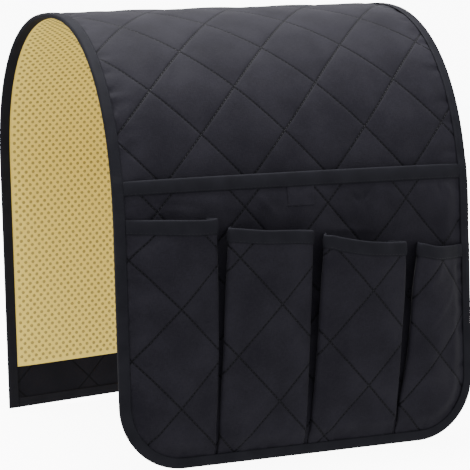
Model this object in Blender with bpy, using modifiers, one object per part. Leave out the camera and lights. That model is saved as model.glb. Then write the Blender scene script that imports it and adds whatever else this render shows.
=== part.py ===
# Quilted sofa armrest organizer: a padded cloth saddle that hangs over the arm of a sofa, with one
# wide pocket and four pleated pockets on its front flap.
# Every cloth is cut flat, as a pattern in x (along the sofa arm) and s (up the front flap, over
# the crown and down the rear flap), and is then draped. Lift is the height above the sofa arm.
# Metres, +Z up. The front flap faces -Y. The origin is under the crown, where the arm holds it.

import math

import bmesh
import bpy
import numpy as np

# The saddle
cover_width = 0.350
arch_depth = 0.3435
arch_height = 0.4010
front_straight = 0.209
rear_straight = 0.260
crown_flat = 0.050
corner_radius = 0.058
lining_stop = 0.042

# The cloths of the saddle, from the sofa arm outwards
seat_gap = 0.0003
lining_cloth = 0.0008
backing_cloth = 0.0008
wadding_thickness = 0.0020
face_seam = 0.0010
face_puff = 0.0026

# The quilting, and the run over which a seam presses the puffs flat
diamond_width = 0.0805
diamond_height = 0.0866
press_run = 0.030
cover_crossing = (0.033, 0.418)
panel_crossing = (0.029, 0.222)

# The binding tape
tape_cloth = 0.0011
tape_width = 0.0105
tape_fold = 0.0010
tape_inset = 0.0030
tape_step = 0.014
tape_spacing = 0.022
cut_snap = 0.00001

# The wide upper pocket
panel_height = 0.250
panel_seam = 0.0010
panel_puff = 0.0030
panel_gape = 0.008
panel_gape_start = 0.050

# The four pleated pockets from left to right, each with its mouth's height at both ends as shares
# of the panel's height, how far the mouth stands off the panel, and where two quilting lines
# cross as shares of the cover's width and the panel's height
pocket_seam = 0.0010
pocket_puff = 0.0030
pocket_fold = 0.004
pocket_flat = 0.0003
pocket_bow = 0.004
pocket_slope = 0.040
mouth_height_shares = ((0.868, 0.848), (0.836, 0.796), (0.792, 0.740), (0.732, 0.704))
mouth_depths = (0.012, 0.016, 0.020, 0.017)
pocket_crossing_shares = ((-0.337, 0.544), (-0.131, 0.388), (0.094, 0.448), (0.389, 0.392))

# The pleats between the pockets, left to right, at the hem and at the mouth as shares of the
# cover's width, and their widths at the mouth, the hem and the panel
pleat_hem_shares = (-0.2486, 0.0029, 0.2571)
pleat_mouth_shares = (-0.2449, 0.0154, 0.2857)
pleat_mouth_widths = (0.0066, 0.0095, 0.0105)
pleat_hem_width = 0.0010
pleat_foot_width = 0.0036

# The three creases of a pocket's corner, as shares of the fold: where they lie on the pattern,
# how far inside the corner, and how far below the front
crease_places = (-1, 0, 1)
crease_inside = (1, 0.25, 0)
crease_drop = (0, 0.25, 1)

# The bare cloth tab below the tape of the wide pocket
tab_width = 0.029
tab_height = 0.016
tab_cloth = 0.0006
tab_side = 0.0045
tab_drop = 0.0200

# How far the front flap flares out and the rear flap leans in, as shares of their heights
front_lean = 0.030
rear_lean = 0.031

# Counts and powers
front_power = 1.92
rear_power = 2.11
puff_power = 0.8
arc_samples = 400
corner_steps = 6
cover_cuts = 2
pocket_cuts = 3
mouth_steps = 12

# What follows from the sizes
backing_lift = lining_cloth + seat_gap
wadding_lift = backing_lift + backing_cloth + seat_gap
face_lift = wadding_lift + wadding_thickness + seat_gap
saddle_thickness = face_lift + face_puff
half_width = cover_width / 2
half_depth = arch_depth / 2 - saddle_thickness
hem_drop = arch_height - saddle_thickness
half_crown = crown_flat / 2
cloth_edge = half_width - tape_inset
tape_reach = tape_width + seat_gap + tape_fold
field_edge = half_width - tape_reach
tape_room = tape_cloth + seat_gap
row_pitch = diamond_height / (2 * cover_cuts)
last_pocket = len(mouth_depths) - 1
mouth_heights = [(left * panel_height, right * panel_height) for left, right in mouth_height_shares]
pleat_hem_places = [share * cover_width for share in pleat_hem_shares]
pleat_mouth_places = [share * cover_width for share in pleat_mouth_shares]
pocket_crossings = [(x_share * cover_width, s_share * panel_height)
                    for x_share, s_share in pocket_crossing_shares]


# A shoulder from its flap to the crown: a superellipse, where the shares of its run and its rise,
# to a power, add up to one. Its distances are from the middle of the crown.
def shoulder(power, rise):
    turn = np.linspace(0, math.pi / 2, arc_samples)
    out_shares = np.cos(turn) ** (2 / power)
    up_shares = np.sin(turn) ** (2 / power)
    return half_crown + (half_depth - half_crown) * out_shares, -rise * (1 - up_shares)


# The sofa arm's outline from hem to hem: a straight flap, a shoulder, the flat crown, and back
def arm_outline():
    front_y, front_z = shoulder(front_power, hem_drop - front_straight)
    rear_y, rear_z = shoulder(rear_power, hem_drop - rear_straight)
    front_hem = -half_depth - front_lean * front_straight
    rear_hem = half_depth - rear_lean * rear_straight
    y = np.concatenate(([front_hem], -front_y, rear_y[::-1], [rear_hem]))
    z = np.concatenate(([-hem_drop], front_z, rear_z[::-1], [-hem_drop]))
    return y, z


# The heights between two marks that lie whole pitches from a start
def level_rows(low, high, start, pitch):
    first = math.ceil((low - start) / pitch)
    last = math.floor((high - start) / pitch)
    return [start + pitch * step for step in range(first, last + 1)]


# The outline bends at the rows of the quilting and is flat between them, so that every cloth
# lies in the same flat strips and none cuts into the next
smooth_y, smooth_z = arm_outline()
smooth_s = np.concatenate(([0], np.cumsum(np.hypot(np.diff(smooth_y), np.diff(smooth_z)))))
cloth_length = float(smooth_s[-1])
cloth_rows = level_rows(tape_fold, cloth_length - tape_fold, cover_crossing[1], row_pitch)
outline_s = np.array([0] + cloth_rows + [cloth_length])
outline_y = np.interp(outline_s, smooth_s, smooth_y)
outline_z = np.interp(outline_s, smooth_s, smooth_z)
first_bend = front_straight - row_pitch
last_bend = cloth_length - rear_straight + row_pitch
bend_rows = [row for row in cloth_rows if first_bend < row < last_bend]


# A share that climbs evenly from 0 at the low mark to 1 at the high mark, and stays there
def ramp(value, low, high):
    return np.clip((value - low) / (high - low), 0, 1)


# The surface of the sofa arm, straight on past both hems
def arm_surface(x, s):
    past_front = np.minimum(s, 0)
    past_rear = np.minimum(cloth_length - s, 0)
    y = np.interp(s, outline_s, outline_y) + front_lean * past_front + rear_lean * past_rear
    z = np.interp(s, outline_s, outline_z) + past_front + past_rear
    return np.stack(np.broadcast_arrays(x, y, z), axis=-1)


# A surface moved along its outward normal, which is the cross product of its two directions
def lifted(surface, x, s, lift):
    x, s, lift = np.broadcast_arrays(x, s, lift)
    along = surface(x + seat_gap, s) - surface(x - seat_gap, s)
    up = surface(x, s + seat_gap) - surface(x, s - seat_gap)
    normal = np.cross(along, up)
    normal = normal / np.linalg.norm(normal, axis=-1, keepdims=True)
    return surface(x, s) + normal * lift[..., None]


# How far a place on the saddle's pattern lies inside its edge, whose front corners are round
def edge_inset(x, s):
    side = np.abs(x) - (half_width - corner_radius)
    low = corner_radius - s
    corner = corner_radius - np.hypot(np.maximum(side, 0), np.maximum(low, 0))
    straight = np.minimum(np.minimum(half_width - np.abs(x), s), cloth_length - s)
    return np.where((side > 0) & (low > 0), corner, straight)


# The share of its puff that a cloth keeps near the binding
def edge_press(x, s):
    return ramp(edge_inset(x, s), tape_reach, tape_reach + press_run)


# The share of its puff that a cloth keeps at a distance below a taped mouth
def mouth_press(below):
    return ramp(below, tape_reach, tape_reach + press_run)


# The room that a cloth leaves under it near a taped edge, for the inner leg of the tape
def leg_room(inset):
    return tape_room * ramp(tape_reach + tape_step - inset, 0, tape_step)


# Where the underside of a cloth of the saddle lies: it is pressed up under the binding
def pressed_surface(lift):
    return lambda x, s: lifted(arm_surface, x, s, lift + leg_room(edge_inset(x, s)))


# The top of the face cloth, over its puffs
def face_top(x, s):
    return face_lift + face_seam + (face_puff - face_seam) * edge_press(x, s)


# The underside of the panel, which stands off the saddle most at the middle of its mouth
def panel_lift(x, s):
    across = np.clip(1 - (x / field_edge) ** 2, 0, 1)
    gape = panel_gape * across * ramp(s, panel_gape_start, panel_height)
    return face_top(x, s) + seat_gap + leg_room(panel_height - s) + gape


def panel_surface(x, s):
    return lifted(arm_surface, x, s, panel_lift(x, s))


# The share of its puff that the panel keeps near the binding and near the tape of its mouth
def panel_press(x, s):
    return edge_press(x, s) * mouth_press(panel_height - s)


# The top of the panel, over its puffs, where the cloth tab lies
def panel_top(x, s):
    return panel_lift(x, s) + panel_seam + (panel_puff - panel_seam) * panel_press(x, s)


# A pleat's middle and half its width at the pockets' fronts, at a share of the mouths' height
def pleat_front(pleat, share):
    hem = pleat_hem_places[pleat]
    middle = hem + (pleat_mouth_places[pleat] - hem) * share
    width = pleat_hem_width + (pleat_mouth_widths[pleat] - pleat_hem_width) * share
    return middle, width / 2


# How far the foot of a pleated side moves towards the middle of its pleat
def foot_lean(pleat, share):
    foot = pleat_hem_width + (pleat_foot_width - pleat_hem_width) * share
    return pleat_front(pleat, share)[1] - foot / 2


# A height as a share of a pocket's highest point
def height_share(number, s):
    return np.maximum(s, 0) / max(mouth_heights[number])


# The inner faces of a pocket's left and right side
def pocket_left(number, share):
    if number == 0:
        return -cloth_edge + 0 * share
    middle, half = pleat_front(number - 1, share)
    return middle + half + pocket_puff


def pocket_right(number, share):
    if number == last_pocket:
        return cloth_edge + 0 * share
    middle, half = pleat_front(number, share)
    return middle - half - pocket_puff


# The depth that a pocket's pattern allows for, which grows evenly from its hem to its mouth
def pattern_depth(number, share):
    return pocket_flat + (mouth_depths[number] - pocket_flat) * share


# The share of its rise that a pocket has near the binding, which holds it flat: an S curve
def slope_share(x, s):
    share = ramp(edge_inset(x, s), tape_reach, tape_reach + pocket_slope)
    return share * share * (3 - 2 * share)


def pocket_depth(number, x, s):
    rise = slope_share(x, s) * height_share(number, s)
    return pocket_flat + (mouth_depths[number] - pocket_flat) * rise


# Cloth that runs over a corner and down the side of a pocket: how far it lies inside the corner,
# how far it leans towards the pleat, and the share of the front's rise that it keeps. The corner
# has three creases, with flat cloth between them, which fan out from the hem.
def pleated_side(number, pleat, past, corner, s):
    share = height_share(number, s)
    depth = pocket_depth(number, corner, s)
    fold = pocket_fold * depth / mouth_depths[number]
    past = np.where(past > 0, past * depth / pattern_depth(number, share), past)
    place = past / fold
    inside = fold * np.interp(place, crease_places, crease_inside) - np.minimum(past + fold, 0)
    drop = fold * np.interp(place, crease_places, crease_drop) + np.maximum(past - fold, 0)
    return inside - foot_lean(pleat, share) * ramp(past, 0, depth), 1 - drop / depth


# Where the flat pattern of a pocket comes to lie: its place along x and its rise off the panel
def pocket_place(number, v, s):
    v, s = np.broadcast_arrays(v, s)
    share = height_share(number, s)
    left = pocket_left(number, share)
    right = pocket_right(number, share)
    middle = (left + right) / 2
    x, side_share = v, np.ones(v.shape)
    if number > 0:
        inside, kept = pleated_side(number, number - 1, left - v, left, s)
        x = np.where(v < middle, left + inside, x)
        side_share = np.where(v < middle, kept, side_share)
    if number < last_pocket:
        inside, kept = pleated_side(number, number, v - right, right, s)
        x = np.where(v < middle, x, right - inside)
        side_share = np.where(v < middle, side_share, kept)
    across = ramp(v, left, right)
    bow = pocket_bow * share * slope_share(v, s) * (4 * across * (1 - across)) ** 2
    room = leg_room(mouth_line(number, v) - s)
    rise = np.maximum(pocket_depth(number, v, s) + bow, pocket_flat + room)
    return x, rise * side_share


# A pocket lies on the tops of the panel's puffs
def pocket_surface(number):
    def surface(v, s):
        x, rise = pocket_place(number, v, s)
        puffs = panel_seam + (panel_puff - panel_seam) * edge_press(x, s)
        return lifted(arm_surface, x, s, panel_lift(x, s) + puffs + seat_gap + rise)
    return surface


# The height of a pocket's mouth at v on its flat pattern
def mouth_line(number, v):
    left_v, right_v = mouth_ends(number)
    low, high = mouth_heights[number]
    return low + (high - low) * (v - left_v) / (right_v - left_v)


# The two ends of a pocket's mouth on its flat pattern, where a pleated side adds its depth
def mouth_ends(number):
    left_share = height_share(number, mouth_heights[number][0])
    right_share = height_share(number, mouth_heights[number][1])
    left = pocket_left(number, left_share)
    right = pocket_right(number, right_share)
    if number > 0:
        left = left - pattern_depth(number, left_share)
    if number < last_pocket:
        right = right + pattern_depth(number, right_share)
    return left, right


# The share of its puff that a pocket keeps near the binding and near the tape of its mouth
def pocket_press(number, v, s):
    x = pocket_place(number, v, s)[0]
    return edge_press(x, s) * mouth_press(mouth_line(number, v) - s)


# The top of all cloths that the edge binding folds over, which steps up where the panel starts
# and again where a pocket starts
def bound_top(x, s):
    number = int(np.searchsorted(pleat_hem_places, x))
    lift = face_lift + face_seam
    for mouth, cloth in ((panel_height, panel_seam), (mouth_line(number, x), pocket_flat + pocket_seam)):
        here = ramp(mouth + tape_step - s, 0, tape_step - tape_fold)
        lift += here * (seat_gap + leg_room(mouth - s) + cloth)
    return lift


# The lowest cloth that the edge binding folds under: the lining, or the backing past its ends,
# both pressed up
def bound_underside(s):
    past_rear = s - cloth_length + lining_stop
    past_front = corner_radius - s
    return tape_room + backing_lift * ramp(max(past_rear, past_front), 0, tape_step)


# The sheet that the edge of a cloth pattern is cut along, counter-clockwise, with round corners
# at the hem where asked
def round_outline(left, right, low, high, round_left, round_right, radius):
    points = []
    turns = np.linspace(0, math.pi / 2, corner_steps + 1)
    if round_left:
        for turn in turns:
            points.append((left + radius * (1 - math.cos(turn)), low + radius * (1 - math.sin(turn))))
    else:
        points.append((left, low))
    if round_right:
        for turn in turns:
            points.append((right - radius * (1 - math.sin(turn)), low + radius * (1 - math.cos(turn))))
    else:
        points.append((right, low))
    points.append((right, high))
    points.append((left, high))
    return points


# Cut a flat mesh along a straight line, and drop what lies to the right of it where asked
def cut_along(mesh, start, end, drop, faces=None):
    across = (end[1] - start[1], start[0] - end[0], 0)
    faces = mesh.faces[:] if faces is None else faces
    edges = {edge for face in faces for edge in face.edges}
    verts = {vert for face in faces for vert in face.verts}
    bmesh.ops.bisect_plane(mesh, geom=list(verts) + list(edges) + faces,
                           plane_co=(start[0], start[1], 0), plane_no=across, dist=cut_snap,
                           clear_outer=drop)


# Give a flat cloth a line of points a given way inside its edges, so that what the tape holds
# lies flat. Only the faces in the corners are cut along the round stretches.
def cut_inside_edge(mesh, inset):
    side = half_width - inset
    line = round_outline(-side, side, inset, cloth_length - inset, True, True, corner_radius - inset)
    for start, end in zip(line, line[1:] + line[:1]):
        level_or_upright = min(abs(start[0] - end[0]), abs(start[1] - end[1])) < seat_gap
        faces = None if level_or_upright else corner_faces(mesh)
        cut_along(mesh, start, end, False, faces)


# How far a place on a flat cloth lies below its mouth, given the mouth's two ends
def below_mouth(mouth, x, s):
    left, right = mouth
    slope = (right[1] - left[1]) / (right[0] - left[0])
    return left[1] + slope * (x - left[0]) - s


# Give a flat cloth lines of points where the tape over its mouth ends and where the room for the
# tape starts, and under the tape along the tape's own stations
def cut_under_mouth(mesh, mouth, lines):
    left, right = mouth
    for drop in (tape_reach, tape_reach + tape_step):
        cut_along(mesh, (left[0], left[1] - drop), (right[0], right[1] - drop), False)
    for start, end in lines:
        taped = []
        for face in mesh.faces:
            centre = face.calc_center_median()
            if below_mouth(mouth, centre.x, centre.y) < tape_reach:
                taped.append(face)
        cut_along(mesh, start, end, False, taped)


# Join the facets that the quilting's slanted lines split under a tape, where no puff stands
def join_taped_facets(mesh, mouth):
    slanted = []
    for edge in mesh.edges:
        step = edge.verts[1].co - edge.verts[0].co
        middle = edge.verts[0].co + step / 2
        slant = abs(step.x) * diamond_height - abs(step.y) * diamond_width
        taped = edge_inset(middle.x, middle.y) < tape_reach
        if mouth is not None and below_mouth(mouth, middle.x, middle.y) < tape_reach:
            taped = True
        if taped and not edge.is_boundary and abs(slant) < cut_snap * diamond_height:
            slanted.append(edge)
    bmesh.ops.dissolve_edges(mesh, edges=slanted, use_verts=True)


def corner_faces(mesh):
    middle = half_width - corner_radius
    found = []
    for face in mesh.faces:
        centre = face.calc_center_median()
        if abs(centre.x) > middle and centre.y < corner_radius:
            found.append(face)
    return found


# A flat grid whose lines run along the given places in x and s
def flat_grid(columns, rows):
    mesh = bmesh.new()
    bmesh.ops.create_grid(mesh, x_segments=len(columns) - 1, y_segments=len(rows) - 1, size=1)
    for vert in mesh.verts:
        column = round((vert.co.x + 1) / 2 * (len(columns) - 1))
        row = round((vert.co.y + 1) / 2 * (len(rows) - 1))
        vert.co = (columns[column], rows[row], 0)
    return mesh


# Place along the two sets of quilting lines, in whole numbers on the lines
def quilt_place(x, s, crossing):
    across = (x - crossing[0]) / diamond_width
    up = (s - crossing[1]) / diamond_height
    return across + up, across - up


# A flat cloth whose edges run along the quilting lines, cut to its outline. Level cuts through
# the diamonds keep each facet inside one row, so that stacked cloths bend along the same lines.
def quilted_pattern(outline, crossing, cuts, folds=(), mouth=None, lines=()):
    places = [quilt_place(x, s, crossing) for x, s in outline]
    first = [math.floor(min(place[side] for place in places)) for side in (0, 1)]
    last = [math.ceil(max(place[side] for place in places)) for side in (0, 1)]
    steps = [(last[side] - first[side]) * cuts + 1 for side in (0, 1)]
    mesh = flat_grid(np.linspace(first[0], last[0], steps[0]), np.linspace(first[1], last[1], steps[1]))
    for vert in mesh.verts:
        rising, falling = vert.co.x, vert.co.y
        vert.co.x = crossing[0] + (rising + falling) * diamond_width / 2
        vert.co.y = crossing[1] + (rising - falling) * diamond_height / 2
    bmesh.ops.reverse_faces(mesh, faces=mesh.faces[:])
    for start, end in zip(outline, outline[1:] + outline[:1]):
        cut_along(mesh, start, end, True)
    low = min(s for x, s in outline)
    high = max(s for x, s in outline)
    for row in level_rows(low, high, crossing[1], diamond_height / (2 * cuts)):
        cut_along(mesh, (-half_width, row), (half_width, row), False)
    for start, end in folds:
        cut_along(mesh, start, end, False)
    cut_inside_edge(mesh, tape_reach)
    if mouth is not None:
        cut_under_mouth(mesh, mouth, lines)
    join_taped_facets(mesh, mouth)
    return mesh


# A plain flat cloth that bends along the same rows as the quilted face, cut to its outline
def plain_pattern(outline):
    xs = [x for x, s in outline]
    ss = [s for x, s in outline]
    mesh = flat_grid([min(xs), max(xs)], [min(ss)] + bend_rows + [max(ss)])
    for start, end in zip(outline, outline[1:] + outline[:1]):
        cut_along(mesh, start, end, True)
    cut_inside_edge(mesh, tape_reach)
    cut_inside_edge(mesh, tape_reach + tape_step)
    return mesh


def cloth_material(name, colour, roughness):
    material = bpy.data.materials.new(name)
    material.use_nodes = True
    shader = material.node_tree.nodes["Principled BSDF"]
    shader.inputs["Base Color"].default_value = (*colour, 1)
    shader.inputs["Roughness"].default_value = roughness
    shader.inputs["Metallic"].default_value = 0
    return material


# Turn a finished sheet into an object, with its cloth's thickness on the outside
def make_object(name, mesh, thickness, material):
    data = bpy.data.meshes.new(name)
    mesh.to_mesh(data)
    mesh.free()
    data.materials.append(material)
    data.shade_smooth()
    item = bpy.data.objects.new(name, data)
    organizer.objects.link(item)
    solid = item.modifiers.new("thickness", "SOLIDIFY")
    solid.thickness = thickness
    solid.offset = 1
    return item


# The share of a quilted cloth's full puff: the product of two sine waves, each of which is nought
# along one set of the quilting lines
def puff_share(x, s, crossing):
    rising, falling = quilt_place(x, s, crossing)
    return np.abs(np.sin(math.pi * rising) * np.sin(math.pi * falling)) ** puff_power


# Drape a flat cloth over a surface. Its thickness climbs from its least to its full thickness
# with the share that is given for each place on the pattern.
def drape(name, mesh, surface, thickness, material, least=None, full_share=None):
    bmesh.ops.triangulate(mesh, faces=mesh.faces[:])
    mesh.verts.ensure_lookup_table()
    flat = np.array([vert.co[:2] for vert in mesh.verts])
    draped = surface(flat[:, 0], flat[:, 1])
    for vert, place in zip(mesh.verts, draped):
        vert.co = place
    item = make_object(name, mesh, thickness, material)
    if least is not None:
        group = item.vertex_groups.new(name="thickness")
        for index, share in enumerate(full_share(flat[:, 0], flat[:, 1])):
            group.add([index], float(share), "REPLACE")
        solid = item.modifiers["thickness"]
        solid.vertex_group = "thickness"
        solid.thickness_vertex_group = least / thickness


# The section of a tape folded over an edge: inset from its outer fold, and lift between the
# underside and the top of what it holds, from the tip of one leg to the tip of the other
def fold_tape(name, stations, surface, underside, top, material):
    turn = tape_cloth + tape_fold
    legs = ((tape_width, 0, 0), (turn, 0, 0), (tape_cloth, 0, 1),
            (tape_cloth, 1, -1), (turn, 1, 0), (tape_width, 1, 0))
    mesh = flat_grid(range(len(stations)), range(len(legs)))
    for vert in mesh.verts:
        x, s, inward_x, inward_s = stations[round(vert.co.x)]
        inset, on_top, rounding = legs[round(vert.co.y)]
        place_x = x + inward_x * inset
        place_s = s + inward_s * inset
        low = underside(place_x, place_s) - seat_gap
        high = top(place_x, place_s) + seat_gap
        lift = (high if on_top else low) + rounding * min(tape_fold, (high - low) / 3)
        vert.co = lifted(surface, place_x, place_s, lift)
    bmesh.ops.triangulate(mesh, faces=mesh.faces[:])
    make_object(name, mesh, tape_cloth, material)


# The heights of the binding's stations up one side: at each bend, and at both ends of each step,
# where the panel, a pocket or the lining starts
def side_heights(mouth):
    heights = list(bend_rows)
    for mark in (panel_height, mouth):
        low = mark - tape_reach
        heights += [low - tape_step, low, mark + tape_fold, mark + tape_step]
    lining_end = cloth_length - lining_stop
    heights += [corner_radius, lining_end, lining_end + tape_step, cloth_length]
    return sorted(heights)


# The stations of the edge binding: down the left side, round the hem and up the right side
def binding_stations():
    middle = half_width - corner_radius
    left_heights = side_heights(mouth_heights[0][0])
    stations = [(-half_width, s, 1, 0) for s in reversed(left_heights)]
    for turn in np.linspace(0, math.pi / 2, corner_steps + 1)[1:-1]:
        out, down = math.cos(turn), math.sin(turn)
        stations.append((-middle - corner_radius * out, corner_radius * (1 - down), out, down))
    steps = math.ceil(2 * middle / tape_spacing)
    stations += [(x, 0, 0, 1) for x in np.linspace(-middle, middle, steps + 1)]
    for turn in np.linspace(math.pi / 2, 0, corner_steps + 1)[1:-1]:
        out, down = math.cos(turn), math.sin(turn)
        stations.append((middle + corner_radius * out, corner_radius * (1 - down), -out, down))
    right_heights = side_heights(mouth_heights[last_pocket][1])
    return stations + [(half_width, s, -1, 0) for s in right_heights]


def build_saddle():
    edge = cloth_edge
    high = cloth_length - tape_inset
    radius = corner_radius - tape_inset
    outline = round_outline(-edge, edge, tape_inset, high, True, True, radius)
    drape("face_cloth", quilted_pattern(outline, cover_crossing, cover_cuts),
          lambda x, s: lifted(arm_surface, x, s, face_lift), face_puff, black_cloth, face_seam,
          lambda x, s: puff_share(x, s, cover_crossing) * edge_press(x, s))
    drape("wadding", plain_pattern(outline), pressed_surface(wadding_lift), wadding_thickness,
          white_wadding, wadding_thickness - tape_room,
          lambda x, s: 1 - leg_room(edge_inset(x, s)) / tape_room)
    drape("backing_cloth", plain_pattern(outline), pressed_surface(backing_lift), backing_cloth,
          black_cloth)
    stop = cloth_length - lining_stop
    lining = round_outline(-edge, edge, corner_radius, stop, False, False, radius)
    drape("nonslip_lining", plain_pattern(lining), pressed_surface(0), lining_cloth, tan_lining)
    fold_tape("edge_binding", binding_stations(), arm_surface,
              lambda x, s: bound_underside(s), bound_top, black_tape)
    steps = math.ceil(2 * field_edge / tape_spacing)
    across = np.linspace(field_edge, -field_edge, steps + 1)
    fold_tape("rear_hem_tape", [(x, cloth_length, 0, -1) for x in across], arm_surface,
              lambda x, s: backing_lift + tape_room, lambda x, s: face_lift + face_seam, black_tape)


def build_upper_pocket():
    high = panel_height - tape_inset
    radius = corner_radius - tape_inset
    outline = round_outline(-cloth_edge, cloth_edge, tape_inset, high, True, True, radius)
    across = np.linspace(field_edge, -field_edge, 2 * mouth_steps + 1)
    mouth = ((-half_width, panel_height), (half_width, panel_height))
    lines = [((x, 0), (x, panel_height)) for x in across]
    pattern = quilted_pattern(outline, panel_crossing, pocket_cuts, (), mouth, lines)
    drape("upper_pocket_panel", pattern, panel_surface, panel_puff, black_cloth, panel_seam,
          lambda x, s: puff_share(x, s, panel_crossing) * panel_press(x, s))
    fold_tape("upper_pocket_tape", [(x, panel_height, 0, -1) for x in across], panel_surface,
              lambda x, s: 0, lambda x, s: panel_seam, black_tape)
    tab_x = tab_side + np.linspace(-tab_width / 2, tab_width / 2, pocket_cuts + 1)
    tab_middle = panel_height - tab_drop
    tab_s = tab_middle + np.linspace(-tab_height / 2, tab_height / 2, cover_cuts + 1)
    drape("cloth_tab", flat_grid(tab_x, tab_s),
          lambda x, s: lifted(arm_surface, x, s, panel_top(x, s) + seat_gap), tab_cloth, black_tape)


# One pocket: the pattern of its front with a pleated side or a rounded edge at each end, and the
# tape over its mouth
def build_pocket(number):
    name = "pocket_" + str(number + 1)
    left_v, right_v = mouth_ends(number)
    hem_share = height_share(number, tape_inset)
    hem_left = pocket_left(number, hem_share)
    hem_right = pocket_right(number, hem_share)
    if number > 0:
        hem_left = hem_left - pattern_depth(number, hem_share)
    if number < last_pocket:
        hem_right = hem_right + pattern_depth(number, hem_share)
    low_left, low_right = mouth_heights[number]
    outline = round_outline(hem_left, hem_right, tape_inset, 0, number == 0,
                            number == last_pocket, corner_radius - tape_inset)[:-2]
    outline += [(right_v, low_right - tape_inset), (left_v, low_left - tape_inset)]
    folds = []
    corners = []
    top = max(mouth_heights[number])
    if number > 0:
        corners.append((pocket_left(number, 0), pocket_left(number, 1)))
    else:
        folds.append(((-field_edge, 0), (-field_edge, top)))
    if number < last_pocket:
        corners.append((pocket_right(number, 0), pocket_right(number, 1)))
    for low, high in corners:
        folds += [((low, 0), (high + crease * pocket_fold, top)) for crease in crease_places]
    if number == last_pocket:
        folds.append(((field_edge, 0), (field_edge, top)))
    tape_left = -field_edge + seat_gap if number == 0 else left_v + tape_room
    tape_right = field_edge - seat_gap if number == last_pocket else right_v - tape_room
    across = [end[0] for start, end in folds if tape_left < end[0] < tape_right]
    even = np.linspace(tape_left, tape_right, mouth_steps + 1)
    across += [v for v in even if min(abs(v - crease) for crease in across) > pocket_fold / 2]
    across.sort(reverse=True)
    slants = np.interp(across, [end[0] for start, end in folds],
                       [(start[0] - end[0]) / top for start, end in folds])
    lines = [((v + slant * top, 0), (v, top)) for v, slant in zip(across, slants)]
    stations = []
    for v, slant in zip(across, slants):
        mouth_v = v + slant * (top - mouth_line(number, v))
        stations.append((mouth_v, mouth_line(number, mouth_v), slant, -1))
    crossing = pocket_crossings[number]
    mouth = ((left_v, low_left), (right_v, low_right))
    pattern = quilted_pattern(outline, crossing, pocket_cuts, folds, mouth, lines)
    drape(name, pattern, pocket_surface(number), pocket_puff, black_cloth, pocket_seam,
          lambda v, s: puff_share(v, s, crossing) * pocket_press(number, v, s))
    fold_tape(name + "_tape", stations, pocket_surface(number), lambda x, s: 0,
              lambda x, s: pocket_seam, black_tape)


for old in list(bpy.data.objects):
    bpy.data.objects.remove(old)
organizer = bpy.data.collections.new("sofa_armrest_organizer")
bpy.context.scene.collection.children.link(organizer)
black_cloth = cloth_material("black_quilted_cloth", (0.020, 0.020, 0.024), 0.85)
black_tape = cloth_material("black_binding_tape", (0.016, 0.016, 0.020), 0.75)
tan_lining = cloth_material("tan_nonslip_lining", (0.55, 0.43, 0.24), 0.90)
white_wadding = cloth_material("white_wadding", (0.80, 0.80, 0.78), 0.95)
build_saddle()
build_upper_pocket()
for pocket_number in range(last_pocket + 1):
    build_pocket(pocket_number)
print("cloth length", round(cloth_length, 4))
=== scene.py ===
import math

import bpy
import numpy as np
from mathutils import Euler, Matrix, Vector


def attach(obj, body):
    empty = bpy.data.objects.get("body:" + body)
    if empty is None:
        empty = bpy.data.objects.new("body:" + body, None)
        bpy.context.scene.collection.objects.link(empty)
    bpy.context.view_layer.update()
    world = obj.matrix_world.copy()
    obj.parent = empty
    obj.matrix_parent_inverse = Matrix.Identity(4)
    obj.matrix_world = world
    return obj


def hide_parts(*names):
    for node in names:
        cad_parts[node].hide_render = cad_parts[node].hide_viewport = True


# A quilted sofa armrest organizer. Every cloth is a flat pattern in x (along the sofa arm) and s (up
# the front flap, over the crown and down the rear flap), laid on the shape of the arm and moved out
# from it by its layer's lift. Metres, +Z up.

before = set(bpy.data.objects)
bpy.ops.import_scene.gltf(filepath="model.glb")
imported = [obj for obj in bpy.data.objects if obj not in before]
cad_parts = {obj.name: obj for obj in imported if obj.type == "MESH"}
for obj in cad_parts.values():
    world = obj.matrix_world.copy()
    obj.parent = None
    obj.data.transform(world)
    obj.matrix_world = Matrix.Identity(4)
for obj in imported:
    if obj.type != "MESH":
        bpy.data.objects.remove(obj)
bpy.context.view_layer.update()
print("frame loaded")

# The sofa arm that the saddle is draped over. Its two ends differ a little.
arm = {
    "halfWidth": 0.1745,  # half the cover's width along the arm
    "cornerRadius": 0.058,  # the two round corners of the front flap
    "hemHeight": -0.3939,  # where the front flap ends
    "middleDepth": 0.3405,  # the depth that is centred on y = 0
    "leftEnd": (0.3370, 0.3983, 0.1806, -0.0019),  # depth, height, the apex's place, rear hem
    "rightEnd": (0.3475, 0.4074, 0.1738, 0.0149),
    "frontStraight": 0.1976,  # height of the flat part of each flap
    "rearStraight": 0.2557,
    "frontLean": 0.0299,  # how far each flap leans, per metre
    "rearLean": -0.0311,
    "frontPower": 2.276,  # powers of the shoulders' superellipses
    "rearPower": 2.249,
    "samples": (80, 900, 100),  # places along the front flap, each shoulder and the rear flap
    "extraArc": 0.0090,  # the right front shoulder is this much longer
    "extraFrom": 0.200,
    "extraTo": 0.340,
    "extraStays": 0.56,  # from here it evens out towards the rear hem
}


# Climbs evenly from 0 at low to 1 at high
def ramp(value, low, high):
    return np.clip((value - low) / (high - low), 0, 1)


# Climbs in an S curve, 3 t^2 - 2 t^3
def smooth(value, low, high):
    t = ramp(value, low, high)
    return t * t * (3 - 2 * t)


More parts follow.
